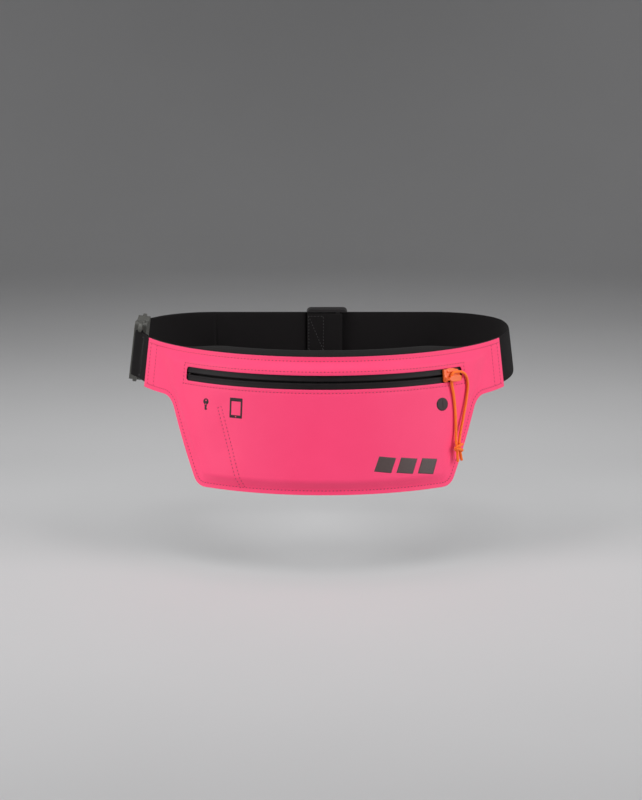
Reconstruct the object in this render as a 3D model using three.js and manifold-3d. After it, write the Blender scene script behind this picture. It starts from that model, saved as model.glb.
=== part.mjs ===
// Running waist pack: a flat zipped pouch on an elastic belt with a side-release buckle.
// Millimetres, +Z up. The belt is closed as it is worn, the pouch faces -Y, and the origin is
// the middle of the loop at half the height of the belt.
//
// Most pieces are laid out on the belt's surface, in three numbers: s runs round the loop from
// the middle of the pouch towards +X, h runs up the flared surface from the middle of the belt,
// and out stands away from the middle of the elastic.

import * as THREE from "three";
import { TessellateModifier } from "three/addons/modifiers/TessellateModifier.js";
import { mergeVertices } from "three/addons/utils/BufferGeometryUtils.js";
import Module from "manifold-3d";

// Loop of the belt, seen from above.
const LOOP_DEPTH = 252;
const FRONT_RADIUS = 170;
const SIDE_RADIUS = 66;
const FLARE = THREE.MathUtils.degToRad(7.2);

// Elastic.
const STRAP_WIDTH = 40;
const STRAP_THICKNESS = 1.6;
const STRAP_IN_TAB = 16;
const LAYER_GAP = 0.4;

// Pouch panels.
const TAB_LENGTH = 48.5;
const TAB_BELOW_ELASTIC = 3.5;
const POUCH_HEIGHT = 116;
const ZIP_TO_SIDE = 22;
const POUCH_HALF_AT_BOTTOM = 107;
const TAB_FILLET = 18;
const BOTTOM_CORNER = 13;
const FRONT_THICKNESS = 1;
const BACK_THICKNESS = 0.8;
const BACK_ABOVE_FRONT = 5.5;
const BACK_RISE_RUN = 60;
const PANEL_GAP = 0.3;
const POUCH_SWELL = 5;
const SWELL_RAMP = 9;

// Inner key pocket, held by a slanted seam.
const KEY_POCKET_TOP = -26;
const KEY_SEAM_AT_TOP = -87.5;
const KEY_SEAM_AT_BOTTOM = -65;
const KEY_POCKET_INSET = 10;
const LINING_THICKNESS = 0.5;

// Zip.
const ZIP_HALF = 123.5;
const ZIP_AT = -1.2;
const WINDOW_HEIGHT = 11.8;
const WINDOW_CORNER = 2.5;
const TAPE_HEIGHT = 9;
const TAPE_THICKNESS = 0.5;
const TAPE_RUN_ON = 6;
const TAPE_BELOW_PANEL = 0.6;
const TEETH_GAP = 1.8;
const COIL_HEIGHT = 2;
const COIL_THICKNESS = 1.6;
const STOP_LENGTH = 2.2;

// Slider.
const SLIDER_LENGTH = 17.6;
const SLIDER_HEIGHT = 10.8;
const PLATE_THICKNESS = 1.8;
const REAR_PLATE_THICKNESS = 1.2;
const RUNNING_GAP = 0.3;
const BRIDGE_SPAN = 10.8;
const BRIDGE_WALL = 1.3;
const BRIDGE_WIDTH = 5.2;
const BRIDGE_DROP = 3;

// Pull cord and its knot.
const CORD_DIAMETER = 2.4;
const CORD_SIDES = 8;
const KNOT_RADIUS = 3.9;

// Earphone lead port.
const PORT_AT = new THREE.Vector2(100.3, -25);
const PORT_RADIUS = 5.6;
const PORT_THICKNESS = 0.7;

// Side-release buckle. Its own x runs towards the pouch, y up and z outwards.
const BUCKLE_AT = -266;
const BUCKLE_SEAT = -1.5;
const BUCKLE_HALF_LENGTH = 33;
const BUCKLE_CHEEK = 7;
const MOUTH_TAPER = 3;
const MOUTH_AT = -8;
const SHELL_THICKNESS = 11;
const SHELL_WALL = 2.1;
const SHELL_END = 23.5;
const CAVITY_END = 21;
const SIDE_WALL = 3.5;
const BAR_WIDTH = 4.4;
const BAR_THICKNESS = 3.2;
const BAR_GAP = 0.65;
const BAR_CORNER = 6;
const SLOT_WIDTH = 3.8;
const SLOT_CLEARANCE = 1;
const WINDOW_FROM = 3.5;
const WINDOW_TO = 18.5;
const BUCKLE_GAP = 0.4;
const PRONG_THICKNESS = 6;
const PRONG_ROOT = 13;
const PRONG_ARM = 4.6;
const PRONG_POCKET = 4;
const TONGUE_HALF = 4;
const TONGUE_THICKNESS = 3;

// Three-bar adjuster at the back.
const ADJUSTER_FROM = -22;
const ADJUSTER_TO = 16.5;
const ADJUSTER_RAIL = 3;
const ADJUSTER_BAR = 4;
const ADJUSTER_THICKNESS = 2;
const FOLD_BAR_AT = -13;
const FOLD_END = 16;

// How far inside a bar's edge the elastic's turn is centred, which keeps it off the corners.
const TURN_TUCK = 0.9;
const FOLD_TUCK = 0.6;

// Where the elastic's layers meet behind the bars, and where the long elastic's two layers end.
const LAYERS_MEET = 14;
const SHORT_HEM = 11;
const PLUG_LOOP = 34;

// Lengths of the steps that follow a curve.
const STRAP_STEP = 8;
const PANEL_ROWS = 14;
const BACK_ROWS = 4;
const SLIDER_STEP = 5;
const ARC_STEP = THREE.MathUtils.degToRad(20);

const wasm = await Module();
wasm.setup();

const paint = (color, roughness) => new THREE.MeshStandardMaterial({ color, roughness, metalness: 0 });
const PINK_FABRIC = [0xfa477a, 0.62];
const BLACK_FABRIC = [0x171617, 0.85];
const BLACK_ELASTIC = [0x242223, 0.9];
const LAMINATED_TAPE = [0x1d1618, 0.45];
const BLACK_COIL = [0x151314, 0.4];
const ORANGE_PLASTIC = [0xf58150, 0.4];
const ORANGE_CORD = [0xff7a1e, 0.8];
const DARK_RUBBER = [0x3a1c23, 0.7];
const GREY_PLASTIC = [0x555551, 0.45];
const BLACK_PLASTIC = [0x1b191a, 0.45];

// ---- the belt's surface ----

const frontCentre = new THREE.Vector2(0, FRONT_RADIUS - LOOP_DEPTH / 2);
const centreGap = FRONT_RADIUS - SIDE_RADIUS;
const backHalf = Math.sqrt(centreGap ** 2 - (LOOP_DEPTH - FRONT_RADIUS - SIDE_RADIUS) ** 2);
const sideCentre = new THREE.Vector2(backHalf, LOOP_DEPTH / 2 - SIDE_RADIUS);
const frontAngle = Math.atan2(backHalf, frontCentre.y - sideCentre.y);
const frontArc = FRONT_RADIUS * frontAngle;
const sideArc = SIDE_RADIUS * (Math.PI - frontAngle);
const halfLoop = frontArc + sideArc + backHalf;

// Where s lies on the loop, and the angle of the outward direction from -Y towards +X.
function loopAt(s) {
  const wrapped = s - 2 * halfLoop * Math.round(s / (2 * halfLoop));
  const run = Math.abs(wrapped);
  const side = wrapped < 0 ? -1 : 1;
  const onArc = (centre, radius, turned) =>
    new THREE.Vector2(Math.sin(turned), -Math.cos(turned)).multiplyScalar(radius).add(centre);
  let angle = Math.PI;
  let point = new THREE.Vector2(halfLoop - run, LOOP_DEPTH / 2);
  if (run < frontArc) {
    angle = run / FRONT_RADIUS;
    point = onArc(frontCentre, FRONT_RADIUS, angle);
  } else if (run < frontArc + sideArc) {
    angle = frontAngle + (run - frontArc) / SIDE_RADIUS;
    point = onArc(sideCentre, SIDE_RADIUS, angle);
  }
  return { x: side * point.x, y: point.y, angle: side * angle };
}

// Axes of the surface at s: along the belt, up it, and out of it.
function axesAt(s) {
  const { angle } = loopAt(s);
  const along = new THREE.Vector3(Math.cos(angle), Math.sin(angle), 0);
  const level = new THREE.Vector3(Math.sin(angle), -Math.cos(angle), 0);
  const out = level.clone().multiplyScalar(Math.cos(FLARE)).setZ(Math.sin(FLARE));
  const up = level.clone().multiplyScalar(-Math.sin(FLARE)).setZ(Math.cos(FLARE));
  return { along, up, out };
}

function place(s, h, out) {
  const { x, y } = loopAt(s);
  const axes = axesAt(s);
  return new THREE.Vector3(x, y, 0).addScaledVector(axes.up, h).addScaledVector(axes.out, out);
}

// A flat frame that touches the surface at s, for rigid pieces.
function flatFrame(s, out) {
  const { along, up, out: normal } = axesAt(s);
  return new THREE.Matrix4().makeBasis(along, up, normal).setPosition(place(s, 0, out));
}

// Bends a piece laid out as (s, h, out) onto the belt, lifted by lift(s, h).
function bend(geometry, lift = () => 0) {
  const position = geometry.getAttribute("position");
  for (let i = 0; i < position.count; i += 1) {
    const s = position.getX(i);
    const h = position.getY(i);
    const at = place(s, h, position.getZ(i) + lift(s, h));
    position.setXYZ(i, at.x, at.y, at.z);
  }
  return geometry;
}

// ---- shapes ----

// Only the positions of a geometry, with shared vertices merged.
function bare(geometry) {
  const loose = geometry.index ? geometry.toNonIndexed() : geometry;
  const positions = new THREE.BufferGeometry().setAttribute("position", loose.getAttribute("position"));
  return mergeVertices(positions, 1e-3);
}

// Points of a closed outline through corners [x, y, radius], each rounded by an arc.
function rounded(corners) {
  return corners.flatMap(([x, y, radius], i) => {
    const corner = new THREE.Vector2(x, y);
    if (!radius) return [corner];
    const before = corners.at(i - 1);
    const after = corners[(i + 1) % corners.length];
    const back = new THREE.Vector2(before[0], before[1]).sub(corner).normalize();
    const ahead = new THREE.Vector2(after[0], after[1]).sub(corner).normalize();
    const half = Math.acos(back.dot(ahead)) / 2;
    const centre = back.clone().add(ahead).setLength(radius / Math.sin(half)).add(corner);
    const from = back.clone().setLength(radius / Math.tan(half)).add(corner).sub(centre);
    const to = ahead.clone().setLength(radius / Math.tan(half)).add(corner).sub(centre);
    const sweep = Math.atan2(from.cross(to), from.dot(to));
    const steps = Math.max(2, Math.ceil(Math.abs(sweep) / ARC_STEP));
    const turn = (_, k) => from.clone().rotateAround(new THREE.Vector2(), (sweep * k) / steps).add(centre);
    return Array.from({ length: steps + 1 }, turn);
  });
}

const roundedOutline = (corners) => new THREE.Shape(rounded(corners));

function extruded(shape, from, to) {
  return new THREE.ExtrudeGeometry(shape, { depth: to - from, bevelEnabled: false }).translate(0, 0, from);
}

// Splits long edges so that a small piece can follow the belt.
const split = (geometry, longest) => bare(new TessellateModifier(longest, 8).modify(bare(geometry)));

function box(xFrom, xTo, yFrom, yTo, zFrom, zTo, steps = 1) {
  return new THREE.BoxGeometry(xTo - xFrom, yTo - yFrom, zTo - zFrom, steps, 1, 1)
    .translate((xFrom + xTo) / 2, (yFrom + yTo) / 2, (zFrom + zTo) / 2);
}

// A closed sheet bent along the belt. at(u, v) gives its (s, h) for u and v from 0 to 1.
function bentSheet(uSteps, vSteps, inner, outer, at, lift) {
  const geometry = bare(new THREE.BoxGeometry(1, 1, outer - inner, uSteps, vSteps, 1));
  geometry.translate(0.5, 0.5, (inner + outer) / 2);
  const position = geometry.getAttribute("position");
  for (let i = 0; i < position.count; i += 1) {
    const { x, y } = at(position.getX(i), position.getY(i));
    position.setXY(i, x, y);
  }
  return bend(geometry, lift);
}

// A straight-edged bar bent along the belt.
function bentBox(sFrom, sTo, hFrom, hTo, outFrom, outTo) {
  const steps = Math.ceil((sTo - sFrom) / STRAP_STEP);
  return bend(bare(box(sFrom, sTo, hFrom, hTo, outFrom, outTo, steps)));
}

function toSolid(geometry) {
  const { attributes, index } = bare(geometry);
  const vertProperties = attributes.position.array;
  const triVerts = new Uint32Array(index.array);
  return new wasm.Manifold(new wasm.Mesh({ numProp: 3, vertProperties, triVerts }));
}

function toGeometry(solid) {
  const mesh = solid.getMesh();
  const geometry = new THREE.BufferGeometry();
  geometry.setAttribute("position", new THREE.BufferAttribute(new Float32Array(mesh.vertProperties), 3));
  geometry.setIndex(new THREE.BufferAttribute(new Uint32Array(mesh.triVerts), 1));
  return geometry;
}

function joined(pieces, cuts = []) {
  const whole = pieces.map(toSolid).reduce((sum, piece) => sum.add(piece));
  return toGeometry(cuts.map(toSolid).reduce((rest, cut) => rest.subtract(cut), whole));
}

// ---- elastic: ribbons that follow a route of (s, out) ----

// Adds points so that no step of the route is longer than STRAP_STEP.
function walked(corners) {
  const route = [corners[0]];
  corners.slice(1).forEach((corner, i) => {
    const steps = Math.ceil(corner.distanceTo(corners[i]) / STRAP_STEP);
    for (let k = 1; k <= steps; k += 1) route.push(corners[i].clone().lerp(corner, k / steps));
  });
  return route;
}

function ribbon(corners) {
  const route = walked(corners);
  const last = route.length - 1;
  const geometry = bare(new THREE.BoxGeometry(last, STRAP_WIDTH, STRAP_THICKNESS, last, 1, 1));
  const position = geometry.getAttribute("position");
  for (let i = 0; i < position.count; i += 1) {
    const at = Math.round(position.getX(i) + last / 2);
    const along = route[Math.min(at + 1, last)].clone().sub(route[Math.max(at - 1, 0)]).normalize();
    const off = new THREE.Vector2(-along.y, along.x).multiplyScalar(position.getZ(i)).add(route[at]);
    const { x, y, z } = place(off.x, position.getY(i), off.y);
    position.setXYZ(i, x, y, z);
  }
  return geometry;
}

const line = (...numbers) => numbers.map(([s, out]) => new THREE.Vector2(s, out));

// Half a turn round a bar, from the outward side to the inward side; side is where the turn bulges.
function halfTurn(centre, radius, side) {
  const steps = 8;
  const at = (_, k) => {
    const angle = (Math.PI * k) / steps;
    return new THREE.Vector2(side * radius * Math.sin(angle), radius * Math.cos(angle)).add(centre);
  };
  return Array.from({ length: steps + 1 }, at);
}

// A point of the buckle's flat frame as (s, out). Past the front arc the belt turns tighter.
function fromBuckle({ x, y }) {
  const radius = FRONT_RADIUS + BUCKLE_SEAT + y;
  const turn = Math.atan2(-x, radius);
  const arcLeft = frontAngle + BUCKLE_AT / FRONT_RADIUS;
  if (turn < arcLeft) {
    return new THREE.Vector2(BUCKLE_AT - FRONT_RADIUS * turn, Math.hypot(x, radius) - FRONT_RADIUS);
  }
  const across = -x - centreGap * Math.sin(arcLeft);
  const away = radius - centreGap * Math.cos(arcLeft);
  const s = -frontArc - SIDE_RADIUS * (Math.atan2(across, away) - arcLeft);
  return new THREE.Vector2(s, Math.hypot(across, away) - SIDE_RADIUS);
}

const waistPack = new THREE.Group();
function add(name, geometry, [color, roughness], parent = waistPack) {
  geometry.computeVertexNormals();
  const mesh = new THREE.Mesh(geometry, paint(color, roughness));
  mesh.name = name;
  parent.add(mesh);
}

// ---- pouch ----

const panelTop = STRAP_WIDTH / 2;
const pouchBottom = panelTop - POUCH_HEIGHT;
const tabBottom = -STRAP_WIDTH / 2 - TAB_BELOW_ELASTIC;
const pouchHalf = ZIP_HALF + ZIP_TO_SIDE;
const tabEnd = pouchHalf + TAB_LENGTH;
const sideSlope = (pouchHalf - POUCH_HALF_AT_BOTTOM) / (tabBottom - pouchBottom);
const sideAt = (h) => pouchHalf + sideSlope * (h - tabBottom);
const frontInner = STRAP_THICKNESS / 2 + PANEL_GAP;
const frontOuter = frontInner + FRONT_THICKNESS;
const faceOuter = frontOuter + POUCH_SWELL;

// How far the front of the pouch stands off at (s, h).
function swell(s, h) {
  const fromSide = (sideAt(h) - Math.abs(s)) / Math.hypot(1, sideSlope);
  const fromEdge = Math.min(panelTop - h, h - pouchBottom, fromSide);
  return POUCH_SWELL * THREE.MathUtils.smoothstep(fromEdge, 0, SWELL_RAMP);
}

// The lower edge from tab to tab, with the pouch hanging in the middle.
const lowerRight = rounded([
  [0, pouchBottom, 0],
  [POUCH_HALF_AT_BOTTOM, pouchBottom, BOTTOM_CORNER],
  [pouchHalf, tabBottom, TAB_FILLET],
  [tabEnd, tabBottom, 0],
  [tabEnd, panelTop, 0],
]).slice(0, -1);
const lowerLeft = lowerRight.slice(1).reverse().map(({ x, y }) => new THREE.Vector2(-x, y));
const lowerEdge = walked([...lowerLeft, ...lowerRight]);

function panel(inner, outer, rows, lift, rise = () => 0) {
  const last = lowerEdge.length - 1;
  const at = (u, v) => {
    const low = lowerEdge[Math.round(u * last)];
    return new THREE.Vector2(low.x, THREE.MathUtils.lerp(low.y, panelTop + rise(low.x), v));
  };
  return bentSheet(last, rows, inner, outer, at, lift);
}

// The block that cuts the zip's window, with round ends to its long edges.
function zipWindow() {
  const right = rounded([
    [0, 0, 0],
    [ZIP_HALF, 0, 0],
    [ZIP_HALF, WINDOW_HEIGHT / 2, WINDOW_CORNER],
    [0, WINDOW_HEIGHT / 2, 0],
  ]).slice(2);
  const left = right.slice(0, -1).map(({ x, y }) => new THREE.Vector2(-x, y));
  const highEdge = walked([...left, ...right.reverse()]);
  const last = highEdge.length - 1;
  const at = (u, v) => {
    const high = highEdge[Math.round(u * last)];
    return new THREE.Vector2(high.x, ZIP_AT + THREE.MathUtils.lerp(-high.y, high.y, v));
  };
  return bentSheet(last, 1, POUCH_SWELL - 1, faceOuter + 1, at);
}

add("front_panel", joined([panel(frontInner, frontOuter, PANEL_ROWS, swell)], [zipWindow()]), PINK_FABRIC);

// The back's top edge stands above the front's between the tabs.
function backRise(s) {
  return BACK_ABOVE_FRONT * THREE.MathUtils.smoothstep(pouchHalf - Math.abs(s), 0, BACK_RISE_RUN);
}
const backSheet = panel(-frontInner - BACK_THICKNESS, -frontInner, BACK_ROWS, undefined, backRise);
add("back_panel", backSheet, BLACK_FABRIC);

const liningOuter = POUCH_SWELL + frontInner - TAPE_BELOW_PANEL;
const liningLow = pouchBottom + KEY_POCKET_INSET;
const keyPocketAt = (u, v) => {
  const h = THREE.MathUtils.lerp(liningLow, KEY_POCKET_TOP, v);
  const seam = THREE.MathUtils.lerp(KEY_SEAM_AT_BOTTOM, KEY_SEAM_AT_TOP, v);
  return new THREE.Vector2(THREE.MathUtils.lerp(KEY_POCKET_INSET - sideAt(h), seam, u), h);
};
add("key_pocket", bentSheet(7, 1, liningOuter - LINING_THICKNESS, liningOuter, keyPocketAt), BLACK_FABRIC);

const port = new THREE.CylinderGeometry(PORT_RADIUS, PORT_RADIUS, PORT_THICKNESS, 24)
  .rotateX(Math.PI / 2)
  .translate(PORT_AT.x, PORT_AT.y, faceOuter + PANEL_GAP + PORT_THICKNESS / 2);
add("cable_port", bend(bare(port)), DARK_RUBBER);

// ---- zip ----

const tapeOuter = POUCH_SWELL + frontInner - TAPE_BELOW_PANEL;
const tapeInner = tapeOuter - TAPE_THICKNESS;
const coilOuter = tapeInner - PANEL_GAP;
const coilInner = coilOuter - COIL_THICKNESS;
const tapeEnd = ZIP_HALF + TAPE_RUN_ON;
for (const [side, name] of [[1, "upper"], [-1, "lower"]]) {
  const across = (from, to) => [ZIP_AT + side * from, ZIP_AT + side * to].sort((a, b) => a - b);
  const [tapeLow, tapeHigh] = across(TEETH_GAP / 2, TAPE_HEIGHT);
  const tape = bentBox(-tapeEnd, tapeEnd, tapeLow, tapeHigh, tapeInner, tapeOuter);
  add(`zip_tape_${name}`, tape, LAMINATED_TAPE);
  const [coilLow, coilHigh] = across(TEETH_GAP / 2, TEETH_GAP / 2 + COIL_HEIGHT);
  const coilEnd = ZIP_HALF - STOP_LENGTH - PANEL_GAP;
  add(`zip_coil_${name}`, bentBox(-coilEnd, coilEnd, coilLow, coilHigh, coilInner, coilOuter), BLACK_COIL);
}

const stopHalfHeight = TEETH_GAP / 2 + COIL_HEIGHT;
for (const [name, from] of [["zip_bottom_stop", -ZIP_HALF], ["zip_top_stop", ZIP_HALF - STOP_LENGTH]]) {
  const low = ZIP_AT - stopHalfHeight;
  const high = ZIP_AT + stopHalfHeight;
  add(name, bentBox(from, from + STOP_LENGTH, low, high, coilInner - 1, coilOuter), BLACK_COIL);
}

// ---- slider, closed against the top stop ----

const sliderAt = ZIP_HALF - STOP_LENGTH - RUNNING_GAP - SLIDER_LENGTH / 2;
const plateInner = tapeOuter + RUNNING_GAP;
const plateOuter = plateInner + PLATE_THICKNESS;
const rearOuter = coilInner - RUNNING_GAP;
const bridgeRise = CORD_DIAMETER + 2 * PANEL_GAP;
const halfLength = SLIDER_LENGTH / 2;
const halfHeight = SLIDER_HEIGHT / 2;
const neckHalf = TEETH_GAP / 2 - RUNNING_GAP;

// The shield-shaped plate: a square shoulder on the closed side, a round nose towards the top stop.
function sliderPlate(scale) {
  return roundedOutline([
    [-halfLength * scale, -halfHeight * scale, 0.8],
    [halfLength * scale, -halfHeight * scale, 4],
    [halfLength * scale, halfHeight * scale, 4],
    [-halfLength * scale, halfHeight * scale, 0.8],
  ]);
}

function sliderBridge() {
  const inner = BRIDGE_SPAN / 2;
  const outer = inner + BRIDGE_WALL * 2;
  const root = -PLATE_THICKNESS / 2;
  const arch = roundedOutline([
    [-outer, root, 0],
    [-inner, root, 0],
    [-inner, bridgeRise, 1.2],
    [inner, bridgeRise, 1.2],
    [inner, root, 0],
    [outer, root, 0],
    [outer, bridgeRise + BRIDGE_WALL, 2.4],
    [-outer, bridgeRise + BRIDGE_WALL, 2.4],
  ]);
  return extruded(arch, -BRIDGE_WIDTH / 2, BRIDGE_WIDTH / 2)
    .rotateX(Math.PI / 2)
    .translate(0, -BRIDGE_DROP, plateOuter);
}

const sliderPieces = [
  extruded(sliderPlate(1), plateInner, plateOuter),
  extruded(sliderPlate(0.82), rearOuter - REAR_PLATE_THICKNESS, rearOuter),
  box(-3, 3, -neckHalf, neckHalf, rearOuter - RUNNING_GAP, plateInner + RUNNING_GAP),
  sliderBridge(),
];
const onZip = (piece) => bend(split(piece, SLIDER_STEP).translate(sliderAt, ZIP_AT, 0));
add("zip_slider", joined(sliderPieces.map(onZip)), ORANGE_PLASTIC);

// ---- pull cord: (s, h, out) of its middle line, from the knot up the near strand, under the
// bridge, round to the right and down the far strand to the knot ----

const CORD_ROUTE = [
  [109.9, -59.6, 9.3],
  [110.6, -54, 8.8],
  [111.3, -46, 8.7],
  [111.8, -36, 8.7],
  [111.8, -26, 8.7],
  [111.3, -18, 8.8],
  [110.4, -12, 9],
  [109.9, -7.5, 9.2],
  [109.9, -4.2, 9.2],
  [110.6, -1.2, 9.2],
  [112.8, 0.7, 9.3],
  [116.4, 0.9, 9.6],
  [120, 0.5, 9.8],
  [123.6, -1.2, 9.6],
  [126.4, -4.6, 9.2],
  [127.6, -9, 8.9],
  [127.4, -13.6, 8.8],
  [126.2, -19, 8.7],
  [124.3, -25.5, 8.7],
  [121.8, -33, 8.7],
  [119.2, -40.5, 8.7],
  [116.6, -48, 8.7],
  [114.5, -54.5, 8.8],
  [112.9, -59.6, 9.3],
];
const KNOT_AT = [111.2, -64, 9.9];
const TAIL_TIPS = [[110.9, -75.4, 8.7], [114.8, -74.9, 8.7]];

const cordSection = new THREE.Shape(Array.from({ length: CORD_SIDES }, (_, k) => {
  const angle = (2 * Math.PI * k) / CORD_SIDES;
  return new THREE.Vector2(Math.cos(angle), Math.sin(angle)).multiplyScalar(CORD_DIAMETER / 2);
}));

function cordAlong(points, steps) {
  const path = new THREE.CatmullRomCurve3(points.map(([s, h, out]) => place(s, h, out)));
  return new THREE.ExtrudeGeometry(cordSection, { steps, extrudePath: path, bevelEnabled: false });
}

add("pull_cord", bare(cordAlong(CORD_ROUTE, 40)), ORANGE_CORD);

const knot = new THREE.SphereGeometry(KNOT_RADIUS, 12, 8)
  .scale(1, 0.9, 0.62)
  .applyMatrix4(flatFrame(KNOT_AT[0], 0).setPosition(place(...KNOT_AT)));
const tails = TAIL_TIPS.map((tip) => cordAlong([KNOT_AT, tip], 3));
add("pull_cord_knot", joined([knot, ...tails]), ORANGE_CORD);

// ---- buckle ----

const buckle = new THREE.Group();
buckle.applyMatrix4(flatFrame(BUCKLE_AT, BUCKLE_SEAT));
waistPack.add(buckle);

const buckleHalf = STRAP_WIDTH / 2 + BUCKLE_CHEEK;
const mouthHalf = buckleHalf - MOUTH_TAPER;
const cavityHalf = mouthHalf - SIDE_WALL;
const cavityDepth = SHELL_THICKNESS / 2 - SHELL_WALL;
const slotHalf = STRAP_WIDTH / 2 + SLOT_CLEARANCE;
const slotTo = BUCKLE_HALF_LENGTH - BAR_WIDTH;
const slotFrom = slotTo - SLOT_WIDTH;

// The thin end that carries the strap bar, on the +x side.
function strapEnd() {
  const from = SHELL_END - BAR_CORNER;
  const corners = [
    [from, -buckleHalf, 0],
    [BUCKLE_HALF_LENGTH, -buckleHalf, BAR_CORNER],
    [BUCKLE_HALF_LENGTH, buckleHalf, BAR_CORNER],
    [from, buckleHalf, 0],
  ];
  return extruded(roundedOutline(corners), -BAR_THICKNESS / 2, BAR_THICKNESS / 2);
}

const strapSlot = () => box(slotFrom, slotTo, -slotHalf, slotHalf, -BAR_THICKNESS, BAR_THICKNESS);

const shellCorners = [
  [MOUTH_AT, -mouthHalf, 1.5],
  [SHELL_END, -buckleHalf, 4],
  [SHELL_END, buckleHalf, 4],
  [MOUTH_AT, mouthHalf, 1.5],
];
const shell = extruded(roundedOutline(shellCorners), -SHELL_THICKNESS / 2, SHELL_THICKNESS / 2);
const cavity = box(MOUTH_AT - 1, CAVITY_END, -cavityHalf, cavityHalf, -cavityDepth, cavityDepth);
const sideWindows = box(WINDOW_FROM, WINDOW_TO, -buckleHalf - 1, buckleHalf + 1, -cavityDepth, cavityDepth);
add("buckle_socket", joined([shell, strapEnd()], [cavity, sideWindows, strapSlot()]),
  GREY_PLASTIC, buckle);

const plugFace = MOUTH_AT - BUCKLE_GAP;
const plugBase = extruded(roundedOutline([
  [-SHELL_END, -buckleHalf, 4],
  [plugFace, -mouthHalf, 1.5],
  [plugFace, mouthHalf, 1.5],
  [-SHELL_END, buckleHalf, 4],
]), -SHELL_THICKNESS / 2, SHELL_THICKNESS / 2);
const tongueHigh = TONGUE_THICKNESS / 2;
const tongue = box(plugFace - 2, WINDOW_TO - 6, -TONGUE_HALF, TONGUE_HALF, -tongueHigh, tongueHigh);
const pocketFrom = plugFace - PRONG_POCKET;
const prongPockets = [-1, 1].map((side) => {
  const middle = side * PRONG_ROOT;
  const reach = PRONG_ARM / 2 + 2 * BUCKLE_GAP;
  return box(pocketFrom, plugFace + 1, middle - reach, middle + reach, -SHELL_THICKNESS, SHELL_THICKNESS);
});
const plugPieces = [plugBase, strapEnd().rotateZ(Math.PI), tongue];
add("buckle_plug", joined(plugPieces, [...prongPockets, strapSlot().rotateZ(Math.PI)]), GREY_PLASTIC, buckle);

// A sprung arm that ends in a thumb pad standing in the socket's side window.
function prong(side) {
  const root = pocketFrom + 2 * BUCKLE_GAP;
  const inner = PRONG_ROOT - PRONG_ARM / 2;
  const outer = PRONG_ROOT + PRONG_ARM / 2;
  const corners = [
    [root, inner, 0],
    [WINDOW_TO - 2, inner, 1.5],
    [WINDOW_TO - 1, cavityHalf - 2, 2],
    [WINDOW_TO - 3.5, buckleHalf - 0.5, 2],
    [WINDOW_FROM + 1, buckleHalf - 0.5, 1.5],
    [WINDOW_FROM + 1, cavityHalf - 1.2, 1],
    [MOUTH_AT + 1, outer, 2],
    [root, outer, 0],
  ];
  const arm = extruded(roundedOutline(corners), -PRONG_THICKNESS / 2, PRONG_THICKNESS / 2);
  return side > 0 ? arm : arm.rotateX(Math.PI);
}
add("buckle_prong_upper", bare(prong(1)), GREY_PLASTIC, buckle);
add("buckle_prong_lower", bare(prong(-1)), GREY_PLASTIC, buckle);

// ---- elastic ----

const turnRadius = BAR_THICKNESS / 2 + BAR_GAP + STRAP_THICKNESS / 2;
const turnCentre = slotTo + TURN_TUCK;
const returnOut = -STRAP_THICKNESS - LAYER_GAP;
const barTurn = (side) => [
  new THREE.Vector2(side * (BUCKLE_HALF_LENGTH + 1), turnRadius),
  ...halfTurn(new THREE.Vector2(side * turnCentre, 0), turnRadius, -side),
  new THREE.Vector2(side * BUCKLE_HALF_LENGTH, -turnRadius),
].map(fromBuckle);

const tabStart = tabEnd - STRAP_IN_TAB;
const shortNear = BUCKLE_AT + BUCKLE_HALF_LENGTH + LAYERS_MEET;
add("strap_short", ribbon([
  ...line([-tabStart, 0], [shortNear, 0]),
  ...barTurn(1),
  ...line([shortNear - 3, returnOut], [shortNear - 3 + SHORT_HEM, returnOut]),
]), BLACK_ELASTIC);

const plugNear = 2 * halfLoop + BUCKLE_AT - BUCKLE_HALF_LENGTH - LAYERS_MEET;
const strapEnds = plugNear - PLUG_LOOP;
const around = new THREE.Vector2(2 * halfLoop, 0);
add("strap_plug_loop", ribbon([
  ...line([strapEnds + PANEL_GAP, 0], [plugNear, 0]),
  ...barTurn(-1).map((point) => point.add(around)),
  ...line([plugNear, returnOut], [strapEnds + PANEL_GAP, returnOut]),
]), BLACK_ELASTIC);
add("strap_long", ribbon(line([tabStart, 0], [strapEnds, 0])), BLACK_ELASTIC);

const foldEnd = halfLoop + FOLD_END;
add("strap_return", ribbon(line([foldEnd + PANEL_GAP, returnOut], [strapEnds, returnOut])), BLACK_ELASTIC);

// ---- adjuster, on the straight back of the belt ----

const foldRadius = ADJUSTER_THICKNESS / 2 + LAYER_GAP + STRAP_THICKNESS / 2;
const foldBarOut = returnOut - foldRadius;
const foldCentre = halfLoop + FOLD_BAR_AT - ADJUSTER_BAR / 2 + FOLD_TUCK;
const foldInner = returnOut - STRAP_THICKNESS - LAYER_GAP;
add("strap_end_fold", ribbon([
  ...line([foldEnd, returnOut]),
  ...halfTurn(new THREE.Vector2(foldCentre, foldBarOut), foldRadius, -1),
  ...line([foldCentre + 6, foldBarOut - foldRadius], [foldCentre + 12, foldInner], [foldEnd, foldInner]),
]), BLACK_ELASTIC);

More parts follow.
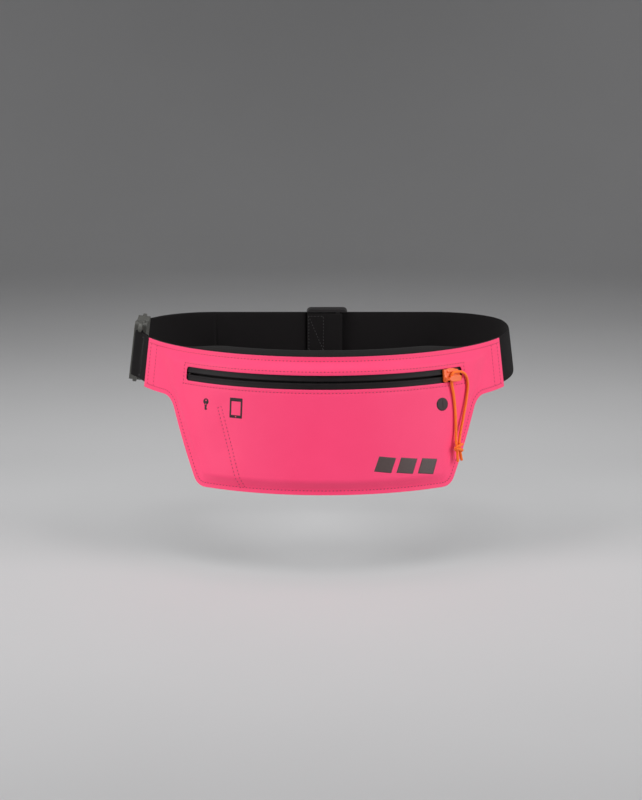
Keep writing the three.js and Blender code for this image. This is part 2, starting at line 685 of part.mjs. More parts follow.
const adjuster = new THREE.Group();
adjuster.applyMatrix4(flatFrame(halfLoop, 0));
waistPack.add(adjuster);
const railLow = foldBarOut - ADJUSTER_THICKNESS / 2;
const railHigh = STRAP_THICKNESS / 2 + LAYER_GAP + ADJUSTER_THICKNESS;
const opening = STRAP_WIDTH / 2 + SLOT_CLEARANCE;
const adjusterHalf = opening + ADJUSTER_RAIL;
const adjusterPlate = extruded(roundedOutline([
  [ADJUSTER_FROM, -adjusterHalf, 4],
  [ADJUSTER_TO, -adjusterHalf, 4],
  [ADJUSTER_TO, adjusterHalf, 4],
  [ADJUSTER_FROM, adjusterHalf, 4],
]), railLow, railHigh);
const openAcross = (xFrom, xTo, zFrom, zTo) => box(xFrom, xTo, -opening, opening, zFrom, zTo);
const barFrom = FOLD_BAR_AT - ADJUSTER_BAR / 2;
const barTo = FOLD_BAR_AT + ADJUSTER_BAR / 2;
const outerBarLow = railHigh - ADJUSTER_THICKNESS;
const innerBarHigh = railLow + ADJUSTER_THICKNESS;
const adjusterCuts = [
  openAcross(ADJUSTER_FROM - 1, ADJUSTER_TO + 1, innerBarHigh, outerBarLow),
  openAcross(ADJUSTER_FROM - 1, barFrom, railLow - 1, innerBarHigh + 1),
  openAcross(barTo, ADJUSTER_TO + 1, railLow - 1, innerBarHigh + 1),
  openAcross(ADJUSTER_FROM + ADJUSTER_BAR, ADJUSTER_TO - ADJUSTER_BAR, outerBarLow - 1, railHigh + 1),
];
add("adjuster", joined([adjusterPlate], adjusterCuts), BLACK_PLASTIC, adjuster);

export default waistPack;
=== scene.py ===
# Running waist pack: a flat zipped pouch on an elastic belt, closed as it is worn. Metres, +Z up,
# the pouch faces -Y, and the origin is the middle of the loop at half the height of the belt.

import math

import bmesh
import bpy
import numpy as np
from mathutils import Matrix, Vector


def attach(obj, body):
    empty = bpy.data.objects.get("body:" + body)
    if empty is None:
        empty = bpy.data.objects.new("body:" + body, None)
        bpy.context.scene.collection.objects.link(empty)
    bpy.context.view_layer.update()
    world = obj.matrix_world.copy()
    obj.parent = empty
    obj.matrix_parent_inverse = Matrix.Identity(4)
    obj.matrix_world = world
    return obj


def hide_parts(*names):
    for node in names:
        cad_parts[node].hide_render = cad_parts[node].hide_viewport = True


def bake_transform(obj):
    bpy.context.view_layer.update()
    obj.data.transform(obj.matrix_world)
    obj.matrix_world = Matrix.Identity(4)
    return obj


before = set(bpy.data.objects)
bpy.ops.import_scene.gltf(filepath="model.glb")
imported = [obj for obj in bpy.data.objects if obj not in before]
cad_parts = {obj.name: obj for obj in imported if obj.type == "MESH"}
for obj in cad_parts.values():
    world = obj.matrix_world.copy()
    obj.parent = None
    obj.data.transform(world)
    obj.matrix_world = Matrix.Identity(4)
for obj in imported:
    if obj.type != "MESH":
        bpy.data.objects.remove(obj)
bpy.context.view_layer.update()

# ---- floor, light and camera ----
# The pack hangs level over a pale paper floor that curves up into a wall all round. Two square
# soft panels light it from the sides and one from above. The camera looks slightly down on it.

FLOOR_HEIGHT = -0.163
FLOOR_RADIUS = 2.7
COVE_RADIUS = 0.9
WALL_HEIGHT = 2.4
FLOOR_SIDES = 96
PANEL_SPREAD = math.radians(80)


def linear(code):
    """An sRGB hex colour as linear RGBA."""
    parts = [int(code[i:i + 2], 16) / 255 for i in (1, 3, 5)]
    return [c / 12.92 if c < 0.04045 else ((c + 0.055) / 1.055) ** 2.4 for c in parts] + [1.0]


def node(tree, kind, inputs=None, **settings):
    """Adds a node. An input given as a socket is linked, and any other is set."""
    made = tree.nodes.new(kind)
    for name, value in settings.items():
        setattr(made, name, value)
    for key, value in (inputs or {}).items():
        if isinstance(value, bpy.types.NodeSocket):
            tree.links.new(value, made.inputs[key])
        else:
            made.inputs[key].default_value = value
    return made


def finish_named(name, settings):
    """A material with these settings on its shader."""
    made = bpy.data.materials.new(name)
    made.use_nodes = True
    shader = made.node_tree.nodes["Principled BSDF"]
    for key, value in settings.items():
        shader.inputs[key].default_value = value
    return made, made.node_tree, shader


def show(name, mesh, finish):
    """An object at the origin, with one finish and smooth shading."""
    made = bpy.data.objects.new(name, mesh)
    bpy.context.scene.collection.objects.link(made)
    mesh.materials.clear()
    mesh.materials.append(finish)
    mesh.polygons.foreach_set("use_smooth", [True] * len(mesh.polygons))
    return made


def paper_finish():
    """Seamless studio paper: matt, pale, with a faint mottle. Here and below, a pattern's scale is
    how many of its blotches or cells fit in a metre, so 3 is one in 330 mm and 2500 one in 0.4 mm."""
    made, tree, shader = finish_named("seamless_paper", {"Roughness": 0.9})
    place_in = node(tree, "ShaderNodeTexCoord").outputs["Object"]
    mottle = node(tree, "ShaderNodeTexNoise", {"Vector": place_in, "Scale": 3.0, "Detail": 3.0})
    tint = node(tree, "ShaderNodeMix", {0: mottle.outputs["Fac"], 6: linear("#c6c6c7"),
                                        7: linear("#cccccd")}, data_type="RGBA")
    tree.links.new(tint.outputs[2], shader.inputs["Base Color"])
    return made


cove = [(COVE_RADIUS * math.sin(a), COVE_RADIUS * (1 - math.cos(a)))
        for a in np.linspace(0, math.pi / 2, 13)]
profile = [(0.001, 0), (1.0, 0)] + [(FLOOR_RADIUS - COVE_RADIUS + x, z) for x, z in cove]
profile.append((FLOOR_RADIUS, WALL_HEIGHT))
studio = bmesh.new()
rings = []
for radius, height in profile:
    turns = [2 * math.pi * k / FLOOR_SIDES for k in range(FLOOR_SIDES)]
    rings.append([studio.verts.new((radius * math.cos(a), radius * math.sin(a), FLOOR_HEIGHT + height))
                  for a in turns])
for low, high in zip(rings, rings[1:]):
    for k in range(FLOOR_SIDES):
        n = (k + 1) % FLOOR_SIDES
        studio.faces.new((low[k], high[k], high[n], low[n]))
studio.faces.new(rings[0])
floor_mesh = bpy.data.meshes.new("studio_floor")
studio.to_mesh(floor_mesh)
show("studio_floor", floor_mesh, paper_finish())

for name, at, size, power in [("panel_left", (-1.60, -0.85, 0.62), 1.2, 6.7),
                              ("panel_right", (1.65, -0.80, 0.62), 1.2, 6.5),
                              ("panel_above", (0.0, -0.1, 1.5), 1.5, 2.8)]:
    light = bpy.data.lights.new(name, "AREA")
    light.shape = "SQUARE"
    light.size = size
    light.energy = power
    light.spread = PANEL_SPREAD
    lamp = bpy.data.objects.new(name, light)
    lamp.location = at
    lamp.rotation_euler = (-Vector(at)).to_track_quat("-Z", "Y").to_euler()
    bpy.context.scene.collection.objects.link(lamp)

sky = bpy.data.worlds.new("studio")
sky.use_nodes = True
sky.node_tree.nodes["Background"].inputs["Color"].default_value = (1, 1, 1, 1)
sky.node_tree.nodes["Background"].inputs["Strength"].default_value = 0.24
bpy.context.scene.world = sky
bpy.context.scene.view_settings.view_transform = "Standard"

CAMERA_TARGET = Vector((0, 0, -0.040))
CAMERA_DISTANCE = 1.9
CAMERA_ELEVATION = math.radians(11.14)
camera_data = bpy.data.cameras.new("camera")
camera_data.sensor_fit = "HORIZONTAL"
camera_data.lens = 118.55
camera_data.shift_x = -0.0048
camera_data.shift_y = -0.0019
camera = bpy.data.objects.new("camera", camera_data)
camera.location = CAMERA_TARGET + CAMERA_DISTANCE * Vector(
    (0, -math.cos(CAMERA_ELEVATION), math.sin(CAMERA_ELEVATION)))
camera.rotation_euler = (CAMERA_TARGET - camera.location).to_track_quat("-Z", "Y").to_euler()
bpy.context.scene.collection.objects.link(camera)
bpy.context.scene.camera = camera

# ---- pull cord ----
# A loop of 2.4 mm braided polyester cord through the slider's bridge. Both ends are tied in one
# overhand knot, 60 mm below, and hang out of it as two short cut tails.

LOOP_DEPTH = 0.252
FRONT_RADIUS = 0.170
SIDE_RADIUS = 0.066
FLARE = math.radians(7.2)
centre_gap = FRONT_RADIUS - SIDE_RADIUS
back_half = math.sqrt(centre_gap ** 2 - (LOOP_DEPTH - FRONT_RADIUS - SIDE_RADIUS) ** 2)
front_middle = FRONT_RADIUS - LOOP_DEPTH / 2
side_middle = LOOP_DEPTH / 2 - SIDE_RADIUS
front_angle = math.atan2(back_half, front_middle - side_middle)
front_arc = FRONT_RADIUS * front_angle
side_arc = SIDE_RADIUS * (math.pi - front_angle)
half_loop = front_arc + side_arc + back_half


def place(s, h, out):
    """Points of the belt: s along the loop from the middle of the pouch towards +X, h up the
    flared surface and out away from the middle of the elastic."""
    s, h, out = np.broadcast_arrays(*(np.asarray(v, float) for v in (s, h, out)))
    wrapped = s - 2 * half_loop * np.round(s / (2 * half_loop))
    side = np.where(wrapped < 0, -1.0, 1.0)
    run = np.abs(wrapped)
    front = run < front_arc
    back = run >= front_arc + side_arc
    angle = np.where(front, run / FRONT_RADIUS, front_angle + (run - front_arc) / SIDE_RADIUS)
    angle = np.where(back, math.pi, angle)
    radius = np.where(front, FRONT_RADIUS, SIDE_RADIUS)
    x = np.where(front, 0, back_half) + radius * np.sin(angle)
    y = np.where(front, front_middle, side_middle) - radius * np.cos(angle)
    x = np.where(back, half_loop - run, x)
    y = np.where(back, LOOP_DEPTH / 2, y)
    reach = out * math.cos(FLARE) - h * math.sin(FLARE)
    at = (side * (x + reach * np.sin(angle)), y - reach * np.cos(angle),
          h * math.cos(FLARE) + out * math.sin(FLARE))
    return np.stack(at, axis=-1)


def smoothed(points, step):
    """A Catmull-Rom curve through the points, walked in about these steps."""
    points = np.asarray(points, float)
    ends = np.vstack([2 * points[0] - points[1], points, 2 * points[-1] - points[-2]])
    dense = []
    for a, b, c, d in zip(ends, ends[1:], ends[2:], ends[3:]):
        for t in np.linspace(0, 1, 24, endpoint=False):
            dense.append(0.5 * (2 * b + (c - a) * t + (2 * a - 5 * b + 4 * c - d) * t ** 2
                                + (3 * b - a - 3 * c + d) * t ** 3))
    dense.append(points[-1])
    dense = np.array(dense)
    far = np.concatenate([[0], np.cumsum(np.linalg.norm(np.diff(dense, axis=0), axis=1))])
    even = np.linspace(0, far[-1], int(far[-1] / step) + 1)
    return np.stack([np.interp(even, far, dense[:, k]) for k in range(3)], axis=1)


def braided(name, path, radius, sides, closed=False):
    """A round cord along a path, with the crossing ridges of its braid in its surface."""
    path = np.asarray(path)
    count = len(path)
    ahead = np.roll(path, -1, axis=0) - np.roll(path, 1, axis=0)
    if not closed:
        ahead[0] = path[1] - path[0]
        ahead[-1] = path[-1] - path[-2]
    ahead /= np.linalg.norm(ahead, axis=1)[:, None]
    side = np.cross(ahead[0], (0.0, 0.3, 1.0))
    sides_of = []
    for direction in ahead:
        side = side - direction * side.dot(direction)
        side = side / np.linalg.norm(side)
        sides_of.append(side)
    sides_of = np.array(sides_of)
    over = np.cross(ahead, sides_of)
    steps = np.linalg.norm(np.diff(path, axis=0), axis=1)
    far = np.concatenate([[0], np.cumsum(steps)])
    turn = 2 * math.pi * np.arange(sides) / sides
    lay = far[:, None] * (2 * math.pi / BRAID_PITCH)
    ridge = np.maximum(np.sin(4 * turn[None, :] + lay), np.sin(4 * turn[None, :] - lay))
    reach = radius * (0.96 + 0.05 * ridge)
    ring = (path[:, None, :] + reach[..., None] * (np.cos(turn)[None, :, None] * sides_of[:, None, :]
            + np.sin(turn)[None, :, None] * over[:, None, :]))
    shape = bmesh.new()
    rings = [[shape.verts.new(p) for p in row] for row in ring]
    chart = shape.loops.layers.uv.new("cloth")
    pairs = list(zip(range(count - 1), range(1, count))) + ([(count - 1, 0)] if closed else [])
    for i, j in pairs:
        for k in range(sides):
            n = (k + 1) % sides
            quad = shape.faces.new((rings[i][k], rings[i][n], rings[j][n], rings[j][k]))
            for loop, (a, b) in zip(quad.loops, ((i, k), (i, k + 1), (i + 1, k + 1), (i + 1, k))):
                loop[chart].uv = (a * steps[0], b * 2 * math.pi * radius / sides)
    if not closed:
        for ends, inward in ((rings[0], 1), (rings[-1], -1)):
            middle = sum((v.co for v in ends), Vector()) / sides
            tip = shape.verts.new(middle - Vector(ahead[0] if inward > 0 else -ahead[-1]) * radius * 0.35)
            for k in range(sides):
                pair = (ends[(k + 1) % sides], ends[k])[::inward]
                shape.faces.new((*pair, tip))
    bmesh.ops.recalc_face_normals(shape, faces=shape.faces)
    mesh = bpy.data.meshes.new(name)
    shape.to_mesh(mesh)
    return mesh


CORD_DIAMETER = 0.0024
BRAID_PITCH = 0.0042
STRAND_WIDTH = 0.0006
CORD_ROUTE = [
    (0.1109, -0.0754, 0.0087),
    (0.1103, -0.0702, 0.0094),
    (0.1099, -0.0650, 0.0104),
    (0.1099, -0.0596, 0.0097),
    (0.1106, -0.0540, 0.0088),
    (0.1113, -0.0460, 0.0087),
    (0.1118, -0.0360, 0.0087),
    (0.1118, -0.0260, 0.0087),
    (0.1113, -0.0180, 0.0088),
    (0.1104, -0.0120, 0.0090),
    (0.1099, -0.0075, 0.0092),
    (0.1099, -0.0042, 0.0092),
    (0.1106, -0.0012, 0.0092),
    (0.1128, 0.0007, 0.0093),
    (0.1164, 0.0009, 0.0096),
    (0.1200, 0.0005, 0.0098),
    (0.1236, -0.0012, 0.0096),
    (0.1264, -0.0046, 0.0092),
    (0.1276, -0.0090, 0.0089),
    (0.1274, -0.0136, 0.0088),
    (0.1262, -0.0190, 0.0087),
    (0.1243, -0.0255, 0.0087),
    (0.1218, -0.0330, 0.0087),
    (0.1192, -0.0405, 0.0087),
    (0.1166, -0.0480, 0.0087),
    (0.1145, -0.0545, 0.0088),
    (0.1128, -0.0596, 0.0097),
    (0.1125, -0.0650, 0.0104),
    (0.1136, -0.0702, 0.0094),
    (0.1148, -0.0749, 0.0087),
]
KNOT_MIDDLE = (0.1113, -0.0637, 0.0106)
KNOT_HALF_WIDTH = 0.0030
KNOT_HALF_HEIGHT = 0.0026
KNOT_HALF_DEPTH = 0.0022
KNOT_TURNS = 2


def cord_finish():
    """Braided polyester cord: matt and strong orange, with painted shade between its crossing strands:
    alternate cells of the braid a little darker.
    """
    made, tree, shader = finish_named("braided_polyester_cord", {"Roughness": 0.72, "Sheen Weight": 0.25,
                                                                "Sheen Roughness": 0.4, "IOR": 1.5})
    chart = node(tree, "ShaderNodeUVMap", uv_map="cloth").outputs["UV"]
    lay = node(tree, "ShaderNodeMapping", {"Vector": chart, "Rotation": (0, 0, math.radians(45))})
    strands = node(tree, "ShaderNodeTexChecker", {"Vector": lay.outputs[0], "Scale": 1 / STRAND_WIDTH})
    fuzz = node(tree, "ShaderNodeTexNoise", {"Vector": chart, "Scale": 2500.0, "Detail": 2.0})
    # Painted shade between the crossing strands: the strands' checker mixes in a darker orange.
    shade = node(tree, "ShaderNodeMix", {0: strands.outputs["Fac"], 6: linear("#ff7a12"),
                                         7: linear("#f76806")}, data_type="RGBA")
    tree.links.new(shade.outputs[2], shader.inputs["Base Color"])
    height = node(tree, "ShaderNodeMath", {0: strands.outputs["Fac"], 1: fuzz.outputs["Fac"]},
                  operation="ADD")
    bump = node(tree, "ShaderNodeBump", {"Height": height.outputs[0], "Strength": 0.35,
                                         "Distance": 0.00015})
    tree.links.new(bump.outputs[0], shader.inputs["Normal"])
    return made


CORD_FINISH = cord_finish()
cord_path = smoothed(place(*np.array(CORD_ROUTE).T), 0.0005)
pull_cord = show("pull_cord_braid", braided("pull_cord_braid", cord_path, CORD_DIAMETER / 2, 20),
                 CORD_FINISH)

# The knot's own turns: one strand wrapped twice round the pair and crossed over itself.
wrap = []
for turn in np.linspace(0, 2 * math.pi, 60, endpoint=False):
    angle = KNOT_TURNS * turn
    swell = 1 + 0.10 * math.sin(turn)
    wrap.append((KNOT_MIDDLE[0] + KNOT_HALF_WIDTH * swell * math.cos(angle) + 0.0003 * math.sin(turn),
                 KNOT_MIDDLE[1] + KNOT_HALF_HEIGHT * math.cos(turn) + 0.0007 * math.sin(angle),
                 KNOT_MIDDLE[2] + KNOT_HALF_DEPTH * swell * math.sin(angle)))
wrap_path = place(*np.array(wrap).T)
cord_knot = show("pull_cord_overhand_knot",
                 braided("pull_cord_overhand_knot", wrap_path, CORD_DIAMETER / 2 * 1.02, 16, closed=True),
                 CORD_FINISH)

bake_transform(pull_cord)
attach(cord_knot, "puller")
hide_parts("pull_cord")
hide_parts("pull_cord_knot")

# ---- front panel ----
# One layer of thin woven stretch fabric, dyed pink, cut to the pouch and its two belt tabs, with
# the zip's window cut in it. It is topstitched to the back all round, and stands a little off it.

PANEL_TOP = 0.020
PANEL_BOTTOM = -0.096
TAB_BOTTOM = -0.0235
TAB_END = 0.194
HALF_AT_TABS = 0.1455
HALF_AT_BOTTOM = 0.107
TAB_FILLET = 0.018
BOTTOM_CORNER = 0.013
FABRIC_THICKNESS = 0.0007
CUT_EDGE = 0.0002
FABRIC_REST = 0.0021
FULLNESS = 0.0050
SEAM_MARGIN = 0.0037
ZIP_AT = -0.0012
ZIP_HALF = 0.1235
WINDOW_HALF = 0.0059
WINDOW_CORNER = 0.0025
WINDOW_SEAM = 0.0030
DIVIDER_TOP = (-0.0875, -0.0262)
DIVIDER_BOTTOM = (-0.0653, -0.0922)
DIVIDER_HALF = 0.0018
TAB_SEAMS = (0.1752, 0.1872)
EASE_HEIGHT = 0.00022
PUCKER_HEIGHT = 0.00007
SEAM_SINK = 0.00022
DIVIDER_SINK = 0.0009
WINDOW_SINK = 0.0002
THREAD_SPACING = 0.0004
FABRIC_STEP = 0.0015
LAST_STEP = 0.0008

side_slope = (HALF_AT_TABS - HALF_AT_BOTTOM) / (TAB_BOTTOM - PANEL_BOTTOM)


def rounded(corners):
    """An open outline through corners (x, y, radius), each inner one rounded by an arc."""
    path = [np.array(corners[0][:2])]
    for before, corner, after in zip(corners, corners[1:], corners[2:]):
        at = np.array(corner[:2])
        if not corner[2]:
            path.append(at)
            continue
        back = (np.array(before[:2]) - at) / np.linalg.norm(np.array(before[:2]) - at)
        ahead = (np.array(after[:2]) - at) / np.linalg.norm(np.array(after[:2]) - at)
        half = math.acos(back.dot(ahead)) / 2
        middle = at + (back + ahead) / np.linalg.norm(back + ahead) * corner[2] / math.sin(half)
        first = at + back * corner[2] / math.tan(half) - middle
        last = at + ahead * corner[2] / math.tan(half) - middle
        sweep = math.atan2(first[0] * last[1] - first[1] * last[0], first.dot(last))
        for t in np.linspace(0, sweep, 9):
            path.append(middle + (first[0] * math.cos(t) - first[1] * math.sin(t),
                                  first[0] * math.sin(t) + first[1] * math.cos(t)))
    path.append(np.array(corners[-1][:2]))
    return np.array(path)


def mirrored(path):
    """A half outline that starts on the middle line, with its other half put before it."""
    return np.vstack([path[::-1] * (-1, 1), path[1:]])


def away(s, h, path):
    """How far each point lies from a line of points."""
    near = np.full(np.shape(s), 1.0)
    for a, b in zip(path, path[1:]):
        run = b - a
        t = np.clip(((s - a[0]) * run[0] + (h - a[1]) * run[1]) / run.dot(run), 0, 1)
        near = np.minimum(near, np.hypot(s - a[0] - t * run[0], h - a[1] - t * run[1]))
    return near


def soft_step(value, low, high):
    """Rises smoothly from 0 at low to 1 at high."""
    t = np.clip((value - low) / (high - low), 0, 1)
    return t * t * (3 - 2 * t)


def inset(path, by):
    """The line moved to its left."""
    ahead = np.gradient(path, axis=0)
    ahead /= np.linalg.norm(ahead, axis=1)[:, None]
    return path + by * np.stack([-ahead[:, 1], ahead[:, 0]], axis=1)


lower_right = rounded([(0, PANEL_BOTTOM, 0), (HALF_AT_BOTTOM, PANEL_BOTTOM, BOTTOM_CORNER),
                       (HALF_AT_TABS, TAB_BOTTOM, TAB_FILLET), (TAB_END, TAB_BOTTOM, 0)])
lower_edge = mirrored(lower_right)
outline = np.vstack([lower_edge, [(TAB_END, PANEL_TOP), (-TAB_END, PANEL_TOP), lower_edge[0]]])
window_right = rounded([(0, ZIP_AT - WINDOW_HALF, 0), (ZIP_HALF, ZIP_AT - WINDOW_HALF, WINDOW_CORNER),
                        (ZIP_HALF, ZIP_AT + WINDOW_HALF, WINDOW_CORNER), (0, ZIP_AT + WINDOW_HALF, 0)])
window_edge = np.vstack([window_right, window_right[-2::-1] * (-1, 1)])

dense_lower = np.array([a + (b - a) * t for a, b in zip(lower_edge, lower_edge[1:])
                        for t in np.linspace(0, 1, 12, endpoint=False)] + [lower_edge[-1]])
keep = (np.abs(dense_lower[:, 0]) < TAB_END - SEAM_MARGIN)
hem_line = inset(dense_lower, SEAM_MARGIN)[keep]
top_line = np.array([(s, PANEL_TOP - SEAM_MARGIN) for s in np.linspace(SEAM_MARGIN - TAB_END,
                                                                       TAB_END - SEAM_MARGIN, 160)])
box_half = (ZIP_HALF + WINDOW_SEAM, WINDOW_HALF + WINDOW_SEAM)
box_line = np.array([(x * box_half[0], ZIP_AT + y * box_half[1])
                     for x, y in ((-1, -1), (1, -1), (1, 1), (-1, 1), (-1, -1))])
divider_run = np.array(DIVIDER_BOTTOM) - np.array(DIVIDER_TOP)
divider_side = np.array((-divider_run[1], divider_run[0])) / np.linalg.norm(divider_run) * DIVIDER_HALF
divider_line = np.array([np.array(DIVIDER_BOTTOM) + divider_side, np.array(DIVIDER_TOP) + divider_side,
                         np.array(DIVIDER_TOP) - divider_side, np.array(DIVIDER_BOTTOM) - divider_side])
tab_lines = [np.array([(side * s, TAB_BOTTOM + 0.0045), (side * s, PANEL_TOP - 0.0045)])
             for side in (-1, 1) for s in TAB_SEAMS]
front_seams = [hem_line, top_line, box_line, divider_line, *tab_lines]


def seam_nearness(s, h):
    """How far each point lies from the nearest row of stitches on the front."""
    return np.minimum.reduce([away(s, h, path) for path in front_seams])


def front_face(s, h):
    """How far out the front of the pouch stands."""
    s, h = np.asarray(s, float), np.asarray(h, float)
    edge = away(s, h, outline)
    past_side = (HALF_AT_TABS + side_slope * (h - TAB_BOTTOM) - np.abs(s)) / math.hypot(1, side_slope)
    full = soft_step(edge, 0.0030, 0.0130) * soft_step(past_side, -0.004, 0.024)
    seam = seam_nearness(s, h)
    held = np.exp(-(seam / 0.0012) ** 2)
    pucker = (np.sin(s * 940 + 2 * np.sin(h * 310)) * np.sin(h * 870 + 1.7 * np.sin(s * 270))
              * np.exp(-(seam / 0.0045) ** 2))
    ease = (np.sin(s * 47 + 1.3) * np.sin(h * 61 + s * 21 + 0.4)
            + 0.6 * np.sin(s * 93 - h * 74 + 2.1)) * full
    window = away(s, h, window_edge)
    past_divider = away(s, h, divider_line[1:3] * 0.5 + np.array([DIVIDER_TOP, DIVIDER_BOTTOM]) * 0.5)
    drawn = np.exp(-(past_divider / 0.009) ** 2) * full
    return (FABRIC_REST + FULLNESS * full + EASE_HEIGHT * ease + PUCKER_HEIGHT * pucker
            - SEAM_SINK * held * (0.4 + 0.6 * full) - DIVIDER_SINK * drawn
            - WINDOW_SINK * np.exp(-(window / 0.0007) ** 2))


def spaced(low, high, step):
    """Even places from low to high, no more than a step apart."""
    return np.linspace(low, high, int(math.ceil((high - low) / step)) + 1)


def graded(count):
    """Shares from 0 to 1 that lie closer together towards both ends."""
    t = np.linspace(0, 1, count + 1)
    return 0.45 * t + 0.55 * (0.5 - 0.5 * np.cos(math.pi * t))


def cloth_mesh(name, s, h, out, keep_cell=None, flip=False):
    """A single layer of fabric over a grid of (s, h), with a map of its thread directions."""
    points = place(s, h, out)
    rows, columns = s.shape
    cells = [(i, j) for i in range(rows - 1) for j in range(columns - 1)
             if keep_cell is None or keep_cell(i, j)]
    corners = [((i, j), (i, j + 1), (i + 1, j + 1), (i + 1, j))[::-1 if flip else 1] for i, j in cells]
    mesh = bpy.data.meshes.new(name)
    mesh.from_pydata(points.reshape(-1, 3).tolist(), [],
                     [[i * columns + j for i, j in quad] for quad in corners])
    chart = mesh.uv_layers.new(name="cloth")
    chart.data.foreach_set("uv", [v for quad in corners for at in quad for v in (s[at], h[at])])
    # Nearness to the rows of stitches; the pink finish reads it to paint shade along the seams.
    near = mesh.attributes.new("seam", "FLOAT", "POINT")
    near.data.foreach_set("value", np.clip(seam_nearness(s, h) / 0.004, 0, 1).ravel())
    tidy = bmesh.new()
    tidy.from_mesh(mesh)
    bmesh.ops.delete(tidy, geom=[v for v in tidy.verts if not v.link_faces], context="VERTS")
    tidy.to_mesh(mesh)
    return mesh


def thicken(piece, thickness, bevel=0.0, side=-1):
    """Gives a thin layer its thickness, inwards (-1) or outwards (1). A bevel takes the sharpness
    off its cut edges."""
    wall = piece.modifiers.new("thickness", "SOLIDIFY")
    wall.thickness = thickness
    wall.offset = side
    if not bevel:
        return
    soften = piece.modifiers.new("cut_edge", "BEVEL")
    soften.width = bevel
    soften.segments = 2
    soften.limit_method = "ANGLE"
    soften.angle_limit = math.radians(50)


def woven_height(tree, chart, spacing):
    """The height of a plain weave whose threads lie this far apart: each thread's round top, with
    the two directions in turn."""
    scaled = node(tree, "ShaderNodeVectorMath", {0: chart, 3: 1 / spacing}, operation="SCALE")
    turns = node(tree, "ShaderNodeSeparateXYZ", {0: scaled.outputs[0]})
    tops = []
    for axis in ("X", "Y"):
        angle = node(tree, "ShaderNodeMath", {0: turns.outputs[axis], 1: math.pi}, operation="MULTIPLY")
        wave = node(tree, "ShaderNodeMath", {0: angle.outputs[0]}, operation="SINE")
        tops.append(node(tree, "ShaderNodeMath", {0: wave.outputs[0]}, operation="ABSOLUTE").outputs[0])
    over = node(tree, "ShaderNodeTexChecker", {"Vector": scaled.outputs[0], "Scale": 1.0})
    return node(tree, "ShaderNodeMix", {0: over.outputs["Fac"], 2: tops[0], 3: tops[1]}).outputs[0]


def pink_fabric_finish():
    """Thin woven polyester stretch: matt with a soft sheen and a fine even weave, with painted shade in the
    weave's hollows and along the rows of stitches. The weave is drawn at 0.4 mm so that it shows."""
    made, tree, shader = finish_named("pink_woven_stretch", {"Roughness": 0.62, "Sheen Weight": 0.12,
                                                            "Sheen Roughness": 0.5, "IOR": 1.45})
    chart = node(tree, "ShaderNodeUVMap", uv_map="cloth").outputs["UV"]
    weave = woven_height(tree, chart, THREAD_SPACING)
    cloud = node(tree, "ShaderNodeTexNoise", {"Vector": chart, "Scale": 26.0, "Detail": 3.0})
    slub = node(tree, "ShaderNodeTexNoise", {"Vector": chart, "Scale": 1400.0, "Detail": 2.0})
    dyed = node(tree, "ShaderNodeMix", {0: cloud.outputs["Fac"], 6: linear("#f8386e"),
                                        7: linear("#fd4277")}, data_type="RGBA")
    # The weave's height lightens the thread tops and darkens the hollows: painted shade in the weave.
    threads = node(tree, "ShaderNodeMapRange", {"Value": weave, "To Min": 0.94, "To Max": 1.03})
    weave_shaded_dye = node(tree, "ShaderNodeVectorMath", {0: dyed.outputs[2], 3: threads.outputs[0]},
                    operation="SCALE")
    # A deeper pink mixed in near the rows of stitches: painted shade along the seams.
    seam = node(tree, "ShaderNodeAttribute", attribute_name="seam")
    near = node(tree, "ShaderNodeMapRange", {"Value": seam.outputs["Fac"], "From Max": 0.28,
                                             "To Min": 0.35, "To Max": 0.0})
    seam_shaded_dye = node(tree, "ShaderNodeMix", {0: near.outputs[0], 6: weave_shaded_dye.outputs[0],
                                            7: linear("#e83467")}, data_type="RGBA")
    tree.links.new(seam_shaded_dye.outputs[2], shader.inputs["Base Color"])
    grain = node(tree, "ShaderNodeMath", {0: slub.outputs["Fac"], 1: 0.5, 2: weave},
                 operation="MULTIPLY_ADD")
    bump = node(tree, "ShaderNodeBump", {"Height": grain.outputs[0], "Strength": 0.3,
                                         "Distance": 0.00008})
    tree.links.new(bump.outputs[0], shader.inputs["Normal"])
    rough = node(tree, "ShaderNodeMapRange", {"Value": slub.outputs["Fac"], "To Min": 0.56, "To Max": 0.7})
    tree.links.new(rough.outputs[0], shader.inputs["Roughness"])
    return made


PINK_FABRIC = pink_fabric_finish()
corner_from = ZIP_HALF - WINDOW_CORNER
half_columns = np.concatenate([
    spaced(0, corner_from - LAST_STEP, FABRIC_STEP),
    corner_from + WINDOW_CORNER * np.sin(np.linspace(0, math.pi / 2, 7)),
    spaced(ZIP_HALF + 0.0012, TAB_END - LAST_STEP, FABRIC_STEP), [TAB_END]])
columns = np.concatenate([-half_columns[:0:-1], half_columns])
low_edge = np.interp(np.abs(columns), lower_right[:, 0], lower_right[:, 1])
into_corner = np.clip(np.abs(columns) - corner_from, 0, WINDOW_CORNER)
opening = WINDOW_HALF - WINDOW_CORNER + np.sqrt(np.maximum(WINDOW_CORNER ** 2 - into_corner ** 2, 0))

LOW_ROWS, SIDE_ROWS, HIGH_ROWS = 56, 8, 14
bands = [(low_edge, ZIP_AT - opening, graded(LOW_ROWS)),
         (ZIP_AT - opening, ZIP_AT + opening, np.linspace(0, 1, SIDE_ROWS + 1)[1:]),
         (ZIP_AT + opening, np.full_like(columns, PANEL_TOP), graded(HIGH_ROWS)[1:])]
panel_h = np.vstack([low + (high - low) * t for low, high, shares in bands for t in shares])
panel_s = np.broadcast_to(columns, panel_h.shape)


def outside_window(i, j):
    """Whether a cell of the panel's grid is fabric, and not the opening for the zip."""
    middle = (columns[j] + columns[j + 1]) / 2
    return not (LOW_ROWS <= i < LOW_ROWS + SIDE_ROWS and abs(middle) < ZIP_HALF)


